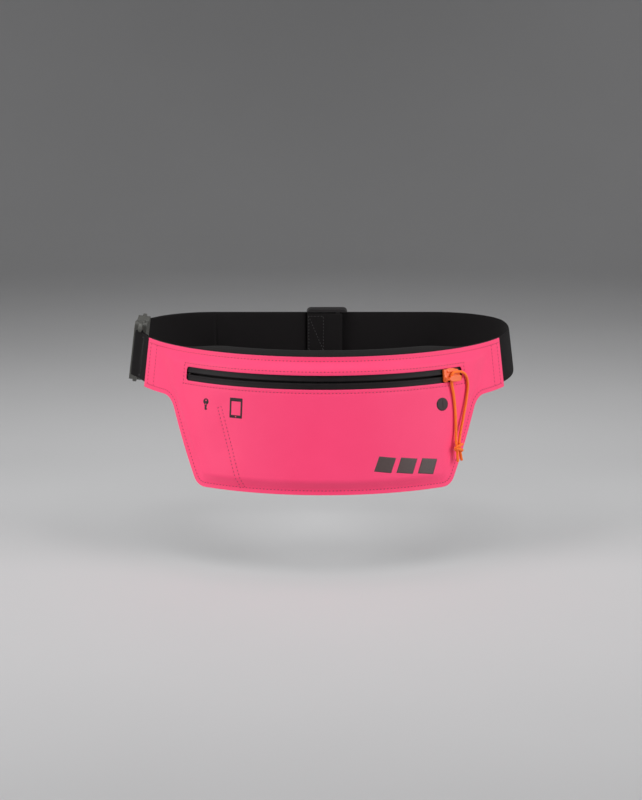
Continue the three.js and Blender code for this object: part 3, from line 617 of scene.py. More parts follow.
front_fabric = show("front_fabric", cloth_mesh("front_fabric", panel_s, panel_h,
                                               front_face(panel_s, panel_h), outside_window),
                    PINK_FABRIC)
thicken(front_fabric, FABRIC_THICKNESS, bevel=CUT_EDGE)
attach(front_fabric, "pouch")
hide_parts("front_panel")

# ---- stitching ----
# Lockstitch in pink polyester thread: one row inside every edge and round the zip's window, two
# across each tab where the elastic is caught, and two down the wall of the inner key pocket.

STITCH_PITCH = 0.0031
STITCH_LENGTH = 0.0017
THREAD_RADIUS = 0.00034


def tree_from_line(name, line, sizes, material, result):
    """A Geometry Nodes tree that a line, some sizes and a material go into, and its inputs."""
    tree = bpy.data.node_groups.new(name, "GeometryNodeTree")
    sockets = [(line, "INPUT", "Geometry"), *((size, "INPUT", "Float") for size in sizes),
               (material, "INPUT", "Material"), (result, "OUTPUT", "Geometry")]
    for label, way, kind in sockets:
        tree.interface.new_socket(label, in_out=way, socket_type="NodeSocket" + kind)
    return tree, node(tree, "NodeGroupInput").outputs


def realized(tree, instances, material):
    """Ends a tree with its instances made real and given their material."""
    real = node(tree, "GeometryNodeRealizeInstances", {0: instances})
    dyed = node(tree, "GeometryNodeSetMaterial", {"Geometry": real.outputs[0], "Material": material})
    node(tree, "NodeGroupOutput", {0: dyed.outputs[0]})
    return tree


def stitch_tree():
    """Geometry Nodes: round-ended stitches in even steps along the edges of a mesh."""
    tree, given = tree_from_line("lockstitch", "Seam", ("Pitch", "Length", "Radius"), "Thread", "Stitches")
    line = node(tree, "GeometryNodeMeshToCurve", {"Mesh": given["Seam"]})
    even = node(tree, "GeometryNodeResampleCurve", {"Curve": line.outputs[0], "Length": given["Pitch"]},
                mode="LENGTH")
    tangent = node(tree, "GeometryNodeInputTangent")
    turned = node(tree, "FunctionNodeAlignRotationToVector", {"Vector": tangent.outputs[0]}, axis="X")
    bead = node(tree, "GeometryNodeMeshUVSphere", {"Segments": 6, "Rings": 5, "Radius": 1.0})
    half = node(tree, "ShaderNodeMath", {0: given["Length"], 1: 0.5}, operation="MULTIPLY")
    size = node(tree, "ShaderNodeCombineXYZ", {0: half.outputs[0], 1: given["Radius"],
                                               2: given["Radius"]})
    sewn = node(tree, "GeometryNodeInstanceOnPoints", {
        "Points": even.outputs[0], "Instance": bead.outputs[0], "Rotation": turned.outputs[0],
        "Scale": size.outputs[0]})
    return realized(tree, sewn.outputs[0], given["Thread"])


def plain_mesh(scratch):
    """What an object's modifiers or its curve make, as a plain mesh. The object is removed."""
    bpy.context.scene.collection.objects.link(scratch)
    ready = scratch.evaluated_get(bpy.context.evaluated_depsgraph_get())
    mesh = bpy.data.meshes.new_from_object(ready)
    bpy.data.objects.remove(scratch)
    return mesh


def grown(name, tree, paths, values):
    """Runs a Geometry Nodes tree over lines of points and keeps what it makes as a plain mesh."""
    source = bpy.data.meshes.new(name + "_lines")
    points, edges = [], []
    for path in paths:
        edges += [(len(points) + k, len(points) + k + 1) for k in range(len(path) - 1)]
        points += np.asarray(path).tolist()
    source.from_pydata(points, edges, [])
    scratch = bpy.data.objects.new(name + "_lines", source)
    growth = scratch.modifiers.new("growth", "NODES")
    growth.node_group = tree
    for socket in tree.interface.items_tree:
        if socket.in_out == "INPUT" and socket.name in values:
            growth[socket.identifier] = values[socket.name]
    mesh = plain_mesh(scratch)
    mesh.polygons.foreach_set("use_smooth", [True] * len(mesh.polygons))
    made = bpy.data.objects.new(name, mesh)
    bpy.context.scene.collection.objects.link(made)
    return made


def thread_finish(name, light, dark):
    """Twisted polyester sewing thread: a low lustre, and a fine twist along each stitch."""
    made, tree, shader = finish_named(name, {"Roughness": 0.5, "Sheen Weight": 0.1})
    place_in = node(tree, "ShaderNodeTexCoord").outputs["Object"]
    twist = node(tree, "ShaderNodeTexNoise", {"Vector": place_in, "Scale": 1800.0, "Detail": 1.0})
    tint = node(tree, "ShaderNodeMix", {0: twist.outputs["Fac"], 6: linear(dark), 7: linear(light)},
                data_type="RGBA")
    tree.links.new(tint.outputs[2], shader.inputs["Base Color"])
    bump = node(tree, "ShaderNodeBump", {"Height": twist.outputs["Fac"], "Strength": 0.4,
                                         "Distance": 0.0001})
    tree.links.new(bump.outputs[0], shader.inputs["Normal"])
    return made


def followed(path, face):
    """A line of (s, h) laid on a face in short steps."""
    dense = [path[0]]
    for a, b in zip(path, path[1:]):
        count = max(1, int(np.linalg.norm(b - a) / FABRIC_STEP))
        dense += [a + (b - a) * k / count for k in range(1, count + 1)]
    s, h = np.array(dense).T
    return place(s, h, face(s, h))


LOCKSTITCH = stitch_tree()
PINK_THREAD = thread_finish("pink_sewing_thread", "#b01f4a", "#861434")
stitch_sizes = {"Pitch": STITCH_PITCH, "Length": STITCH_LENGTH, "Radius": THREAD_RADIUS}
front_stitches = grown("front_stitches", LOCKSTITCH, [followed(path, front_face) for path in front_seams],
                       {**stitch_sizes, "Thread": PINK_THREAD})
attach(front_stitches, "pouch")

# ---- printed signs ----
# Dark ink printed on the fabric: a key over the key pocket, a telephone over the main pocket and,
# low on the other side, three slanted reflective bars. They follow the fabric's surface.

INK_LIFT = 0.00005
INK_THICKNESS = 0.00006
INK_FACET = 0.0016
KEY_AT = (-0.1004, -0.0226)
PHONE_AT = (-0.0722, -0.0254)
BARS_FROM = (0.0385, -0.0765)
BAR_SIZE = (0.0135, 0.0125)
BAR_LEAN = 0.0045
BAR_PITCH = 0.0178
BAR_DROP = 0.0022


def ink_finish(name, dark, light, roughness):
    """Screen-printed ink: thin and a little uneven."""
    made, tree, shader = finish_named(name, {"Roughness": roughness, "IOR": 1.5})
    place_in = node(tree, "ShaderNodeTexCoord").outputs["Object"]
    patchy = node(tree, "ShaderNodeTexNoise", {"Vector": place_in, "Scale": 700.0, "Detail": 4.0})
    tint = node(tree, "ShaderNodeMix", {0: patchy.outputs["Fac"], 6: linear(dark), 7: linear(light)},
                data_type="RGBA")
    tree.links.new(tint.outputs[2], shader.inputs["Base Color"])
    bump = node(tree, "ShaderNodeBump", {"Height": patchy.outputs["Fac"], "Strength": 0.25,
                                         "Distance": 0.00006})
    tree.links.new(bump.outputs[0], shader.inputs["Normal"])
    return made


def circle(x, y, radius, count=28):
    """A circle's outline."""
    return [(x + radius * math.cos(2 * math.pi * k / count), y + radius * math.sin(2 * math.pi * k / count))
            for k in range(count)]


def plate(x, y, width, height, corner=0.0):
    """A rectangle's outline, with its corners rounded where a radius is given."""
    if not corner:
        return [(x + i * width / 2, y + j * height / 2) for i, j in ((-1, -1), (1, -1), (1, 1), (-1, 1))]
    return [(x + i * (width / 2 - corner) + corner * math.cos(a), y + j * (height / 2 - corner)
             + corner * math.sin(a)) for i, j, start in ((1, 1, 0), (-1, 1, 1), (-1, -1, 2), (1, -1, 3))
            for a in [(start + k / 4) * math.pi / 2 for k in range(5)]]


def printed(name, outlines, finish):
    """A thin layer of ink: outlines within outlines are left bare."""
    flat = bpy.data.curves.new(name, "CURVE")
    flat.dimensions = "2D"
    flat.fill_mode = "BOTH"
    for points in outlines:
        spline = flat.splines.new("POLY")
        spline.points.add(len(points) - 1)
        for point, (x, y) in zip(spline.points, points):
            point.co = (x, y, 0, 1)
        spline.use_cyclic_u = True
    mesh = plain_mesh(bpy.data.objects.new(name, flat))
    shape = bmesh.new()
    shape.from_mesh(mesh)
    bmesh.ops.remove_doubles(shape, verts=shape.verts, dist=1e-6)
    for _ in range(4):
        long_edges = [e for e in shape.edges if e.calc_length() > INK_FACET]
        bmesh.ops.subdivide_edges(shape, edges=long_edges, cuts=1)
        bmesh.ops.triangulate(shape, faces=shape.faces)
    s, h = np.array([v.co[:2] for v in shape.verts]).T
    for vert, at in zip(shape.verts, place(s, h, front_face(s, h) + INK_LIFT)):
        vert.co = at
    shape.to_mesh(mesh)
    made = show(name, mesh, finish)
    thicken(made, INK_THICKNESS, side=1)
    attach(made, "pouch")


DARK_INK = ink_finish("dark_screen_ink", "#1d0a10", "#2b1018", 0.7)
REFLECTIVE_INK = ink_finish("reflective_grey_ink", "#3d2e2e", "#4f3f3e", 0.5)
key_s, key_h = KEY_AT
printed("key_sign", [circle(key_s, key_h, 0.0026), circle(key_s, key_h + 0.0009, 0.0007, 14),
                     plate(key_s, key_h - 0.0045, 0.0013, 0.0052),
                     plate(key_s + 0.0010, key_h - 0.0062, 0.0011, 0.0009)], DARK_INK)
phone_s, phone_h = PHONE_AT
printed("telephone_sign", [plate(phone_s, phone_h, 0.0112, 0.0170, 0.0006),
                           plate(phone_s, phone_h - 0.0002, 0.0083, 0.0117),
                           circle(phone_s, phone_h - 0.0073, 0.0006, 12)], DARK_INK)
for k in range(3):
    s = BARS_FROM[0] + k * BAR_PITCH
    h = BARS_FROM[1] - k * BAR_DROP
    width, height = BAR_SIZE
    printed(f"reflective_bar_{k + 1}", [[(s, h), (s + width, h - BAR_DROP), (
        s + width + BAR_LEAN, h - BAR_DROP + height), (s + BAR_LEAN, h + height)]], REFLECTIVE_INK)

# ---- earphone lead port ----
# A disc of thin rubbery film bonded over a slit in the fabric, so that a lead can pass through.

PORT_AT = (0.1003, -0.0250)
PORT_RADIUS = 0.0056
PORT_THICKNESS = 0.0005
FILM_THICKNESS = 0.0003


def film_finish():
    """Polyurethane film: dark, soft and nearly matt, with a fine leathery grain."""
    made, tree, shader = finish_named("polyurethane_film", {"Roughness": 0.62, "IOR": 1.5})
    place_in = node(tree, "ShaderNodeTexCoord").outputs["Object"]
    grain = node(tree, "ShaderNodeTexVoronoi", {"Vector": place_in, "Scale": 2200.0})
    cloud = node(tree, "ShaderNodeTexNoise", {"Vector": place_in, "Scale": 160.0})
    tint = node(tree, "ShaderNodeMix", {0: cloud.outputs["Fac"], 6: linear("#1c0b10"),
                                        7: linear("#271016")}, data_type="RGBA")
    tree.links.new(tint.outputs[2], shader.inputs["Base Color"])
    bump = node(tree, "ShaderNodeBump", {"Height": grain.outputs["Distance"], "Strength": 0.35,
                                         "Distance": 0.0001})
    tree.links.new(bump.outputs[0], shader.inputs["Normal"])
    return made


disc_radii = [0.0, 0.0006, 0.0012, 0.0022, 0.0034, 0.0044, 0.0050, 0.0053, 0.0055, PORT_RADIUS]
disc_turns = np.linspace(0, 2 * math.pi, 49)[:-1]
disc = bmesh.new()
disc_rings = []
for radius in disc_radii:
    count = 1 if radius == 0 else len(disc_turns)
    turns = disc_turns[:count]
    s = PORT_AT[0] + radius * np.cos(turns)
    h = PORT_AT[1] + radius * np.sin(turns)
    rim = PORT_THICKNESS * (1 - soft_step(radius, 0.0050, PORT_RADIUS))
    slit = np.exp(-((s - PORT_AT[0]) / 0.0003) ** 2) * soft_step(0.0042 - abs(h - PORT_AT[1]), 0, 0.001)
    crease = 0.00012 * np.exp(-((radius - 0.0046) / 0.0002) ** 2)
    out = front_face(s, h) + rim - FILM_THICKNESS * slit - crease
    disc_rings.append([disc.verts.new(p) for p in place(s, h, out)])
for k in range(len(disc_turns)):
    n = (k + 1) % len(disc_turns)
    disc.faces.new((disc_rings[0][0], disc_rings[1][k], disc_rings[1][n]))
    for low, high in zip(disc_rings[1:], disc_rings[2:]):
        disc.faces.new((low[k], high[k], high[n], low[n]))
disc_mesh = bpy.data.meshes.new("lead_port_film")
disc.to_mesh(disc_mesh)
lead_port = show("lead_port_film", disc_mesh, film_finish())
thicken(lead_port, FILM_THICKNESS)
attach(lead_port, "pouch")
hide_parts("cable_port")

# ---- zip ----
# A 25 cm reversed coil zip: two woven tapes under a black water-resistant film, folded in at the
# middle, with the nylon coils behind them. Moulded stops close both ends.

TAPE_HALF = 0.0090
TAPE_GAP = 0.0006
TAPE_FOLD = 0.0006
TAPE_FACE = 0.0055
TAPE_THICKNESS = 0.0004
TAPE_THREAD_SPACING = 0.0006
TAPE_CROWN = 0.00016
TAPE_TELL = 0.00004
TAPE_SAG = 0.00012
TAPE_END = ZIP_HALF + 0.0060
COIL_PITCH = 0.00145
COIL_NEAR = 0.0003
COIL_FAR = 0.0029
COIL_INNER = 0.0031
COIL_OUTER = 0.0047
WIRE_RADIUS = 0.00026
STOP_LENGTH = 0.0022
STOP_GAP = 0.0003


def film_tape_finish():
    """Polyurethane film over woven polyester: black, satin, with the weave just telling through."""
    made, tree, shader = finish_named("laminated_zip_tape", {"Roughness": 0.6, "Specular IOR Level": 0.22})
    chart = node(tree, "ShaderNodeUVMap", uv_map="cloth").outputs["UV"]
    weave = woven_height(tree, chart, TAPE_THREAD_SPACING)
    smear = node(tree, "ShaderNodeTexNoise", {"Vector": chart, "Scale": 120.0, "Detail": 3.0})
    tint = node(tree, "ShaderNodeMix", {0: smear.outputs["Fac"], 6: linear("#0f0b0d"),
                                        7: linear("#191315")}, data_type="RGBA")
    tree.links.new(tint.outputs[2], shader.inputs["Base Color"])
    rough = node(tree, "ShaderNodeMapRange", {"Value": smear.outputs["Fac"], "To Min": 0.52, "To Max": 0.66})
    tree.links.new(rough.outputs[0], shader.inputs["Roughness"])
    bump = node(tree, "ShaderNodeBump", {"Height": weave, "Strength": 0.2, "Distance": 0.00006})
    tree.links.new(bump.outputs[0], shader.inputs["Normal"])
    return made


def moulded_finish(name, dark, light, roughness):
    """Injection-moulded plastic: an even satin skin with a very fine spark-eroded grain."""
    made, tree, shader = finish_named(name, {"Roughness": roughness, "IOR": 1.49})
    place_in = node(tree, "ShaderNodeTexCoord").outputs["Object"]
    grain = node(tree, "ShaderNodeTexNoise", {"Vector": place_in, "Scale": 3200.0, "Detail": 2.0})
    cloud = node(tree, "ShaderNodeTexNoise", {"Vector": place_in, "Scale": 90.0, "Detail": 3.0})
    tint = node(tree, "ShaderNodeMix", {0: cloud.outputs["Fac"], 6: linear(dark), 7: linear(light)},
                data_type="RGBA")
    tree.links.new(tint.outputs[2], shader.inputs["Base Color"])
    rough = node(tree, "ShaderNodeMapRange", {"Value": cloud.outputs["Fac"],
                                              "To Min": roughness - 0.05, "To Max": roughness + 0.07})
    tree.links.new(rough.outputs[0], shader.inputs["Roughness"])
    bump = node(tree, "ShaderNodeBump", {"Height": grain.outputs["Fac"], "Strength": 0.22,
                                         "Distance": 0.00008})
    tree.links.new(bump.outputs[0], shader.inputs["Normal"])
    return made


def coil_tree():
    """Geometry Nodes: one closed loop of wire for each tooth, in even steps along a line."""
    tree, given = tree_from_line("zip_coil", "Line", ("Pitch", "Height", "Depth", "Wire"), "Nylon", "Coil")
    line = node(tree, "GeometryNodeMeshToCurve", {"Mesh": given["Line"]})
    even = node(tree, "GeometryNodeResampleCurve", {"Curve": line.outputs[0], "Length": given["Pitch"]},
                mode="LENGTH")
    tangent = node(tree, "GeometryNodeInputTangent")
    along = node(tree, "FunctionNodeAlignRotationToVector", {"Vector": tangent.outputs[0]}, axis="Z")
    upright = node(tree, "FunctionNodeAlignRotationToVector",
                   {"Rotation": along.outputs[0], "Vector": (0, 0, 1)}, axis="Y", pivot_axis="Z")
    ring = node(tree, "GeometryNodeCurvePrimitiveCircle", {"Resolution": 10, "Radius": 0.5})
    size = node(tree, "ShaderNodeCombineXYZ", {0: given["Depth"], 1: given["Height"], 2: 1.0})
    oval = node(tree, "GeometryNodeTransform", {"Geometry": ring.outputs[0], "Scale": size.outputs[0]})
    section = node(tree, "GeometryNodeCurvePrimitiveCircle", {"Resolution": 5, "Radius": given["Wire"]})
    tooth = node(tree, "GeometryNodeCurveToMesh", {"Curve": oval.outputs[0],
                                                   "Profile Curve": section.outputs[0]})
    placed = node(tree, "GeometryNodeInstanceOnPoints", {
        "Points": even.outputs[0], "Instance": tooth.outputs[0], "Rotation": upright.outputs[0]})
    return realized(tree, placed.outputs[0], given["Nylon"])


FILM_TAPE = film_tape_finish()
BLACK_NYLON = moulded_finish("black_nylon", "#131112", "#1c191a", 0.38)
ZIP_COIL = coil_tree()
tape_columns = spaced(-TAPE_END, TAPE_END, COIL_PITCH / 4)
tape_across = np.array([TAPE_GAP, 0.0007, 0.0009, 0.0012, 0.0016, 0.0022, 0.0030, 0.0042, 0.0058, 0.0074,
                        TAPE_HALF])
for side, name in ((1, "upper"), (-1, "lower")):
    across = np.sort(side * tape_across)
    s, h = np.meshgrid(tape_columns, ZIP_AT + across)
    reach = np.abs(h - ZIP_AT)
    fold = TAPE_FOLD * (1 - soft_step(reach, TAPE_GAP, TAPE_GAP + 0.0007))
    crown = TAPE_CROWN * np.exp(-((reach - 0.0015) / 0.0007) ** 2)
    tell = TAPE_TELL * np.sin(2 * math.pi * s / COIL_PITCH) * (1 - soft_step(reach, 0.0028, 0.0034))
    sag = TAPE_SAG * np.abs(np.sin(s * 61 + side)) * soft_step(reach, 0.001, 0.004)
    tape = show(f"zip_tape_film_{name}", cloth_mesh(f"zip_tape_film_{name}", s, h,
                                                    TAPE_FACE - fold + crown + tell - sag), FILM_TAPE)
    thicken(tape, TAPE_THICKNESS)
    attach(tape, "pouch")
    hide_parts(f"zip_tape_{name}")
    coil_end = ZIP_HALF - STOP_LENGTH - 0.0008
    offset = COIL_PITCH / 4 * side
    coil_s = np.linspace(-coil_end + offset, coil_end + offset, 240)
    coil_line = place(coil_s, ZIP_AT + side * (COIL_NEAR + COIL_FAR) / 2, (COIL_INNER + COIL_OUTER) / 2)
    coil = grown(f"zip_coil_teeth_{name}", ZIP_COIL, [coil_line], {
        "Pitch": COIL_PITCH, "Height": COIL_FAR - COIL_NEAR - 2 * WIRE_RADIUS,
        "Depth": COIL_OUTER - COIL_INNER - 2 * WIRE_RADIUS, "Wire": WIRE_RADIUS, "Nylon": BLACK_NYLON})
    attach(coil, "pouch")
    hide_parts(f"zip_coil_{name}")
for name in ("zip_bottom_stop", "zip_top_stop"):
    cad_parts[name].data.materials.clear()
    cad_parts[name].data.materials.append(BLACK_NYLON)

# ---- slider ----
# One orange acetal moulding that runs on the zip: a shield-shaped plate in front with a raised
# flange, a smaller one behind, a neck between them, and the bridge that the cord passes under.

SLIDER_HALF = 0.0088
SLIDER_AT = ZIP_HALF - STOP_LENGTH - STOP_GAP - SLIDER_HALF
PLATE_INNER = TAPE_FACE + 0.0003
PLATE_OUTER = PLATE_INNER + 0.0018
BRIDGE_MIDDLE = ZIP_AT - 0.0030
BRIDGE_HALF_WIDTH = 0.0027
BRIDGE_SPAN = 0.0054
BRIDGE_RISE = 0.0030
BRIDGE_WALL = 0.0014
REAR_INNER = 0.0016
REAR_OUTER = 0.0028
SLIDER_VOXEL = 0.00022


def prism(shape, outline, low, high, turned=False):
    """Adds a closed block to a bmesh: an outline pushed from low to high. Turned stands it up, so
    that the outline lies along the belt and outwards, and it is pushed up the belt."""
    ends = []
    for level in (low, high):
        ends.append([shape.verts.new((x, level, y) if turned else (x, y, level)) for x, y in outline])
    count = len(outline)
    shape.faces.new(ends[0][::-1])
    shape.faces.new(ends[1])
    for k in range(count):
        n = (k + 1) % count
        shape.faces.new((ends[0][k], ends[0][n], ends[1][n], ends[1][k]))


def fused(name, shape, voxel, rounds):
    """Melts overlapping blocks into one smooth moulding."""
    bmesh.ops.recalc_face_normals(shape, faces=shape.faces)
    mesh = bpy.data.meshes.new(name)
    shape.to_mesh(mesh)
    scratch = bpy.data.objects.new(name, mesh)
    melt = scratch.modifiers.new("melt", "REMESH")
    melt.mode = "VOXEL"
    melt.voxel_size = voxel
    polish = scratch.modifiers.new("polish", "SMOOTH")
    polish.iterations = rounds
    polish.factor = 0.5
    return plain_mesh(scratch)


slider_shape = bmesh.new()
plate_outline = [(-0.0066, -0.0048), (0.0035, -0.0048), (0.0068, -0.0041), (0.0084, -0.0025),
                 (SLIDER_HALF, -0.0005), (0.0084, 0.0022), (0.0066, 0.0042), (0.0020, 0.0056),
                 (-0.0025, 0.0060), (-0.0066, 0.0050)]
prism(slider_shape, plate_outline, PLATE_INNER, PLATE_OUTER)
prism(slider_shape, plate(-0.0074, 0, 0.0027, 0.0109, 0.0009), PLATE_INNER, PLATE_OUTER + 0.0007)
prism(slider_shape, [(x * 0.8, y * 0.8) for x, y in plate_outline], REAR_INNER, REAR_OUTER)
prism(slider_shape, plate(0, 0, 0.0060, 0.0011), 0.0022, PLATE_INNER + 0.0004)
prism(slider_shape, plate(-0.0005, 0.0035, 0.0095, 0.0020, 0.0008), PLATE_OUTER - 0.0004,
      PLATE_OUTER + 0.0006)
span, rise = BRIDGE_SPAN, PLATE_OUTER + BRIDGE_RISE
wide, high = span + BRIDGE_WALL * 1.8, rise + BRIDGE_WALL
arch = [(-wide, PLATE_OUTER - 0.0006), (-span, PLATE_OUTER - 0.0006), (-span, rise - 0.0008),
        (-span + 0.0009, rise), (span - 0.0009, rise), (span, rise - 0.0008),
        (span, PLATE_OUTER - 0.0006), (wide, PLATE_OUTER - 0.0006), (wide, high - 0.0022),
        (wide - 0.0008, high - 0.0008), (wide - 0.0024, high), (-wide + 0.0024, high),
        (-wide + 0.0008, high - 0.0008), (-wide, high - 0.0022)]
bridge_low = BRIDGE_MIDDLE - ZIP_AT - BRIDGE_HALF_WIDTH
prism(slider_shape, arch, bridge_low, bridge_low + 2 * BRIDGE_HALF_WIDTH, turned=True)
slider_mesh = fused("slider_moulding", slider_shape, SLIDER_VOXEL, 5)
flat = np.array([v.co[:] for v in slider_mesh.vertices])
rounding = np.sqrt(1 - np.clip((np.abs(flat[:, 0] - 0.0010) - 0.0014) / 0.0056, 0, 0.94) ** 2)
raised = soft_step(flat[:, 2], PLATE_OUTER + 0.0004, PLATE_OUTER + 0.0016)
bridge_at = BRIDGE_MIDDLE - ZIP_AT
in_bridge = raised * (flat[:, 1] < bridge_at + BRIDGE_HALF_WIDTH + 0.0003)
flat[:, 1] = bridge_at + (flat[:, 1] - bridge_at) * (1 - in_bridge * (1 - rounding))
bent = place(flat[:, 0] + SLIDER_AT, flat[:, 1] + ZIP_AT, flat[:, 2])
slider_mesh.vertices.foreach_set("co", bent.ravel())
slider = show("slider_moulding", slider_mesh, moulded_finish("orange_acetal", "#ee5f20", "#f66d2e", 0.4))
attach(slider, "slider")
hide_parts("zip_slider")

# ---- back panel and key pocket ----
# The back is one layer of black open-knit mesh that lies on the body, sewn to the front all
# round. A lining behind the front's slanted seam makes the flat key pocket inside.

BACK_FACE = -0.0018
KNIT_SPACING = 0.0017
BACK_ABOVE_FRONT = 0.0055
BACK_RISE_RUN = 0.060
BACK_THICKNESS = 0.0007
BACK_SINK = 0.0006
LINING_BEHIND = 0.0013
LINING_MARGIN = 0.0075
LINING_TOP = -0.0268
LINING_THICKNESS = 0.0003


def back_face(s, h):
    """How far in the back of the pouch stands."""
    s, h = np.asarray(s, float), np.asarray(h, float)
    edge = away(s, h, outline)
    held = np.exp(-(np.minimum(away(s, h, hem_line), away(s, h, top_line)) / 0.0012) ** 2)
    ease = np.sin(s * 39 + 0.7) * np.sin(h * 55 - s * 17) + 0.5 * np.sin(s * 83 + h * 67)
    return BACK_FACE - BACK_SINK * soft_step(edge, 0.003, 0.013) + 0.00025 * held - 0.0002 * ease


def knit_finish():
    """Warp-knitted spacer mesh: matt black, with rows of small round eyelets set half a step apart, painted
    darker as shade in the holes, and a soft bloom of loose fibre."""
    made, tree, shader = finish_named("black_knit_mesh", {"Roughness": 0.86, "Sheen Weight": 0.05,
                                                         "Sheen Roughness": 0.5})
    chart = node(tree, "ShaderNodeUVMap", uv_map="cloth").outputs["UV"]
    eyelet = node(tree, "ShaderNodeTexVoronoi", {"Vector": chart, "Scale": 1 / KNIT_SPACING,
                                                 "Randomness": 0.12}, voronoi_dimensions="2D")
    hole = node(tree, "ShaderNodeMapRange", {"Value": eyelet.outputs["Distance"], "From Min": 0.12,
                                             "From Max": 0.34})
    yarn = node(tree, "ShaderNodeTexNoise", {"Vector": chart, "Scale": 2600.0, "Detail": 2.0})
    # The eyelets get the darker black: painted shade in the holes.
    tint = node(tree, "ShaderNodeMix", {0: hole.outputs[0], 6: linear("#060506"), 7: linear("#0e0d0d")},
                data_type="RGBA")
    tree.links.new(tint.outputs[2], shader.inputs["Base Color"])
    height = node(tree, "ShaderNodeMath", {0: yarn.outputs["Fac"], 1: 0.3, 2: hole.outputs[0]},
                  operation="MULTIPLY_ADD")
    bump = node(tree, "ShaderNodeBump", {"Height": height.outputs[0], "Strength": 0.6,
                                         "Distance": 0.00025})
    tree.links.new(bump.outputs[0], shader.inputs["Normal"])
    return made


BLACK_KNIT = knit_finish()
back_top = PANEL_TOP + BACK_ABOVE_FRONT * soft_step(HALF_AT_TABS - np.abs(columns), 0, BACK_RISE_RUN)
back_h = np.vstack([low_edge + (back_top - low_edge) * t for t in graded(64)])
back_s = np.broadcast_to(columns, back_h.shape)
back_knit = show("back_knit", cloth_mesh("back_knit", back_s, back_h, back_face(back_s, back_h),
                                         flip=True), BLACK_KNIT)
thicken(back_knit, BACK_THICKNESS, bevel=CUT_EDGE)
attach(back_knit, "pouch")
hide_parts("back_panel")

BLACK_THREAD = thread_finish("black_sewing_thread", "#2c292a", "#171516")
back_stitches = grown("back_stitches", LOCKSTITCH,
                      [followed(path, back_face) for path in (hem_line, top_line, *tab_lines)],
                      {**stitch_sizes, "Thread": BLACK_THREAD})
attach(back_stitches, "pouch")

lining_shares = np.linspace(0, 1, 30)
lining_rows = []
for h in np.linspace(PANEL_BOTTOM + LINING_MARGIN, LINING_TOP, 36):
    share = (h - DIVIDER_BOTTOM[1]) / (DIVIDER_TOP[1] - DIVIDER_BOTTOM[1])
    seam_s = DIVIDER_BOTTOM[0] + (DIVIDER_TOP[0] - DIVIDER_BOTTOM[0]) * share
    side_s = np.interp(h, lower_right[:, 1], lower_right[:, 0])
    lining_rows.append([(s, h) for s in (LINING_MARGIN - side_s) * (1 - lining_shares)
                        + seam_s * lining_shares])
lining_s, lining_h = np.moveaxis(np.array(lining_rows), 2, 0)
lining = show("key_pocket_lining", cloth_mesh("key_pocket_lining", lining_s, lining_h,
                                              front_face(lining_s, lining_h) - LINING_BEHIND),
              BLACK_KNIT)
thicken(lining, LINING_THICKNESS, bevel=CUT_EDGE / 2)
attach(lining, "pouch")
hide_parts("key_pocket")

# ---- elastic ----
# 40 mm woven elastic: rubber cores under black polyester, with fine cords along its length and a
# close rib across. One end is sewn in each tab; the long piece turns round the buckle's bar and
# comes back on the inside to the adjuster.

ELASTIC_WIDTH = 0.040
ELASTIC_THICKNESS = 0.0016
ELASTIC_STEP = 0.0025
CORE_SPACING = 0.0010
RIB_SPACING = 0.0008
LAYER_BETWEEN = 0.0004
IN_TAB = 0.016
BUCKLE_AT = -0.266
BUCKLE_SEAT = -0.0015
BUCKLE_HALF = 0.033
BAR_WIDTH = 0.0044
BAR_THICKNESS = 0.0032
BAR_GAP = 0.00065
TURN_TUCK = 0.0009
LAYERS_MEET = 0.014
SHORT_HEM = 0.011
FOLD_END = 0.016
FOLD_BAR = -0.0145
ADJUSTER_THICKNESS = 0.0020
RETURN_OUT = -ELASTIC_THICKNESS - LAYER_BETWEEN


def elastic_finish():
    """Woven elastic: matt black polyester, cords 1 mm apart along it and ribs 0.8 mm apart across, with
    painted shade in the grooves between them over a random cloudy tone.
    """
    made, tree, shader = finish_named("black_woven_elastic", {"Roughness": 0.8, "Specular IOR Level": 0.12,
                                                             "Sheen Weight": 0.02, "Sheen Roughness": 0.4})
    chart = node(tree, "ShaderNodeUVMap", uv_map="cloth").outputs["UV"]
    apart = node(tree, "ShaderNodeSeparateXYZ", {0: chart})
    waves = []
    for axis, spacing in (("X", RIB_SPACING), ("Y", CORE_SPACING)):
        turns = node(tree, "ShaderNodeMath", {0: apart.outputs[axis], 1: math.pi / spacing},
                     operation="MULTIPLY")
        wave = node(tree, "ShaderNodeMath", {0: turns.outputs[0]}, operation="SINE")
        waves.append(node(tree, "ShaderNodeMath", {0: wave.outputs[0]}, operation="ABSOLUTE").outputs[0])
    ribs = node(tree, "ShaderNodeMath", {0: waves[0], 1: 0.6, 2: waves[1]}, operation="MULTIPLY_ADD")
    yarn = node(tree, "ShaderNodeTexNoise", {"Vector": chart, "Scale": 1900.0, "Detail": 2.0})
    height = node(tree, "ShaderNodeMath", {0: yarn.outputs["Fac"], 1: 0.4, 2: ribs.outputs[0]},
                  operation="MULTIPLY_ADD")
    cloud = node(tree, "ShaderNodeTexNoise", {"Vector": chart, "Scale": 45.0, "Detail": 3.0})
    # Rib and cord tops lighter, grooves darker: painted shade in the grooves, over a random cloudy tone.
    shade = node(tree, "ShaderNodeMath", {0: cloud.outputs["Fac"], 1: 0.5, 2: ribs.outputs[0]},
                 operation="MULTIPLY_ADD")
    tint = node(tree, "ShaderNodeMapRange", {"Value": shade.outputs[0], "From Max": 2.0})
    colour = node(tree, "ShaderNodeMix", {0: tint.outputs[0], 6: linear("#0b0a0a"),
                                          7: linear("#181516")}, data_type="RGBA")
    tree.links.new(colour.outputs[2], shader.inputs["Base Color"])
    bump = node(tree, "ShaderNodeBump", {"Height": height.outputs[0], "Strength": 0.5,
                                         "Distance": 0.00022})
    tree.links.new(bump.outputs[0], shader.inputs["Normal"])
    return made


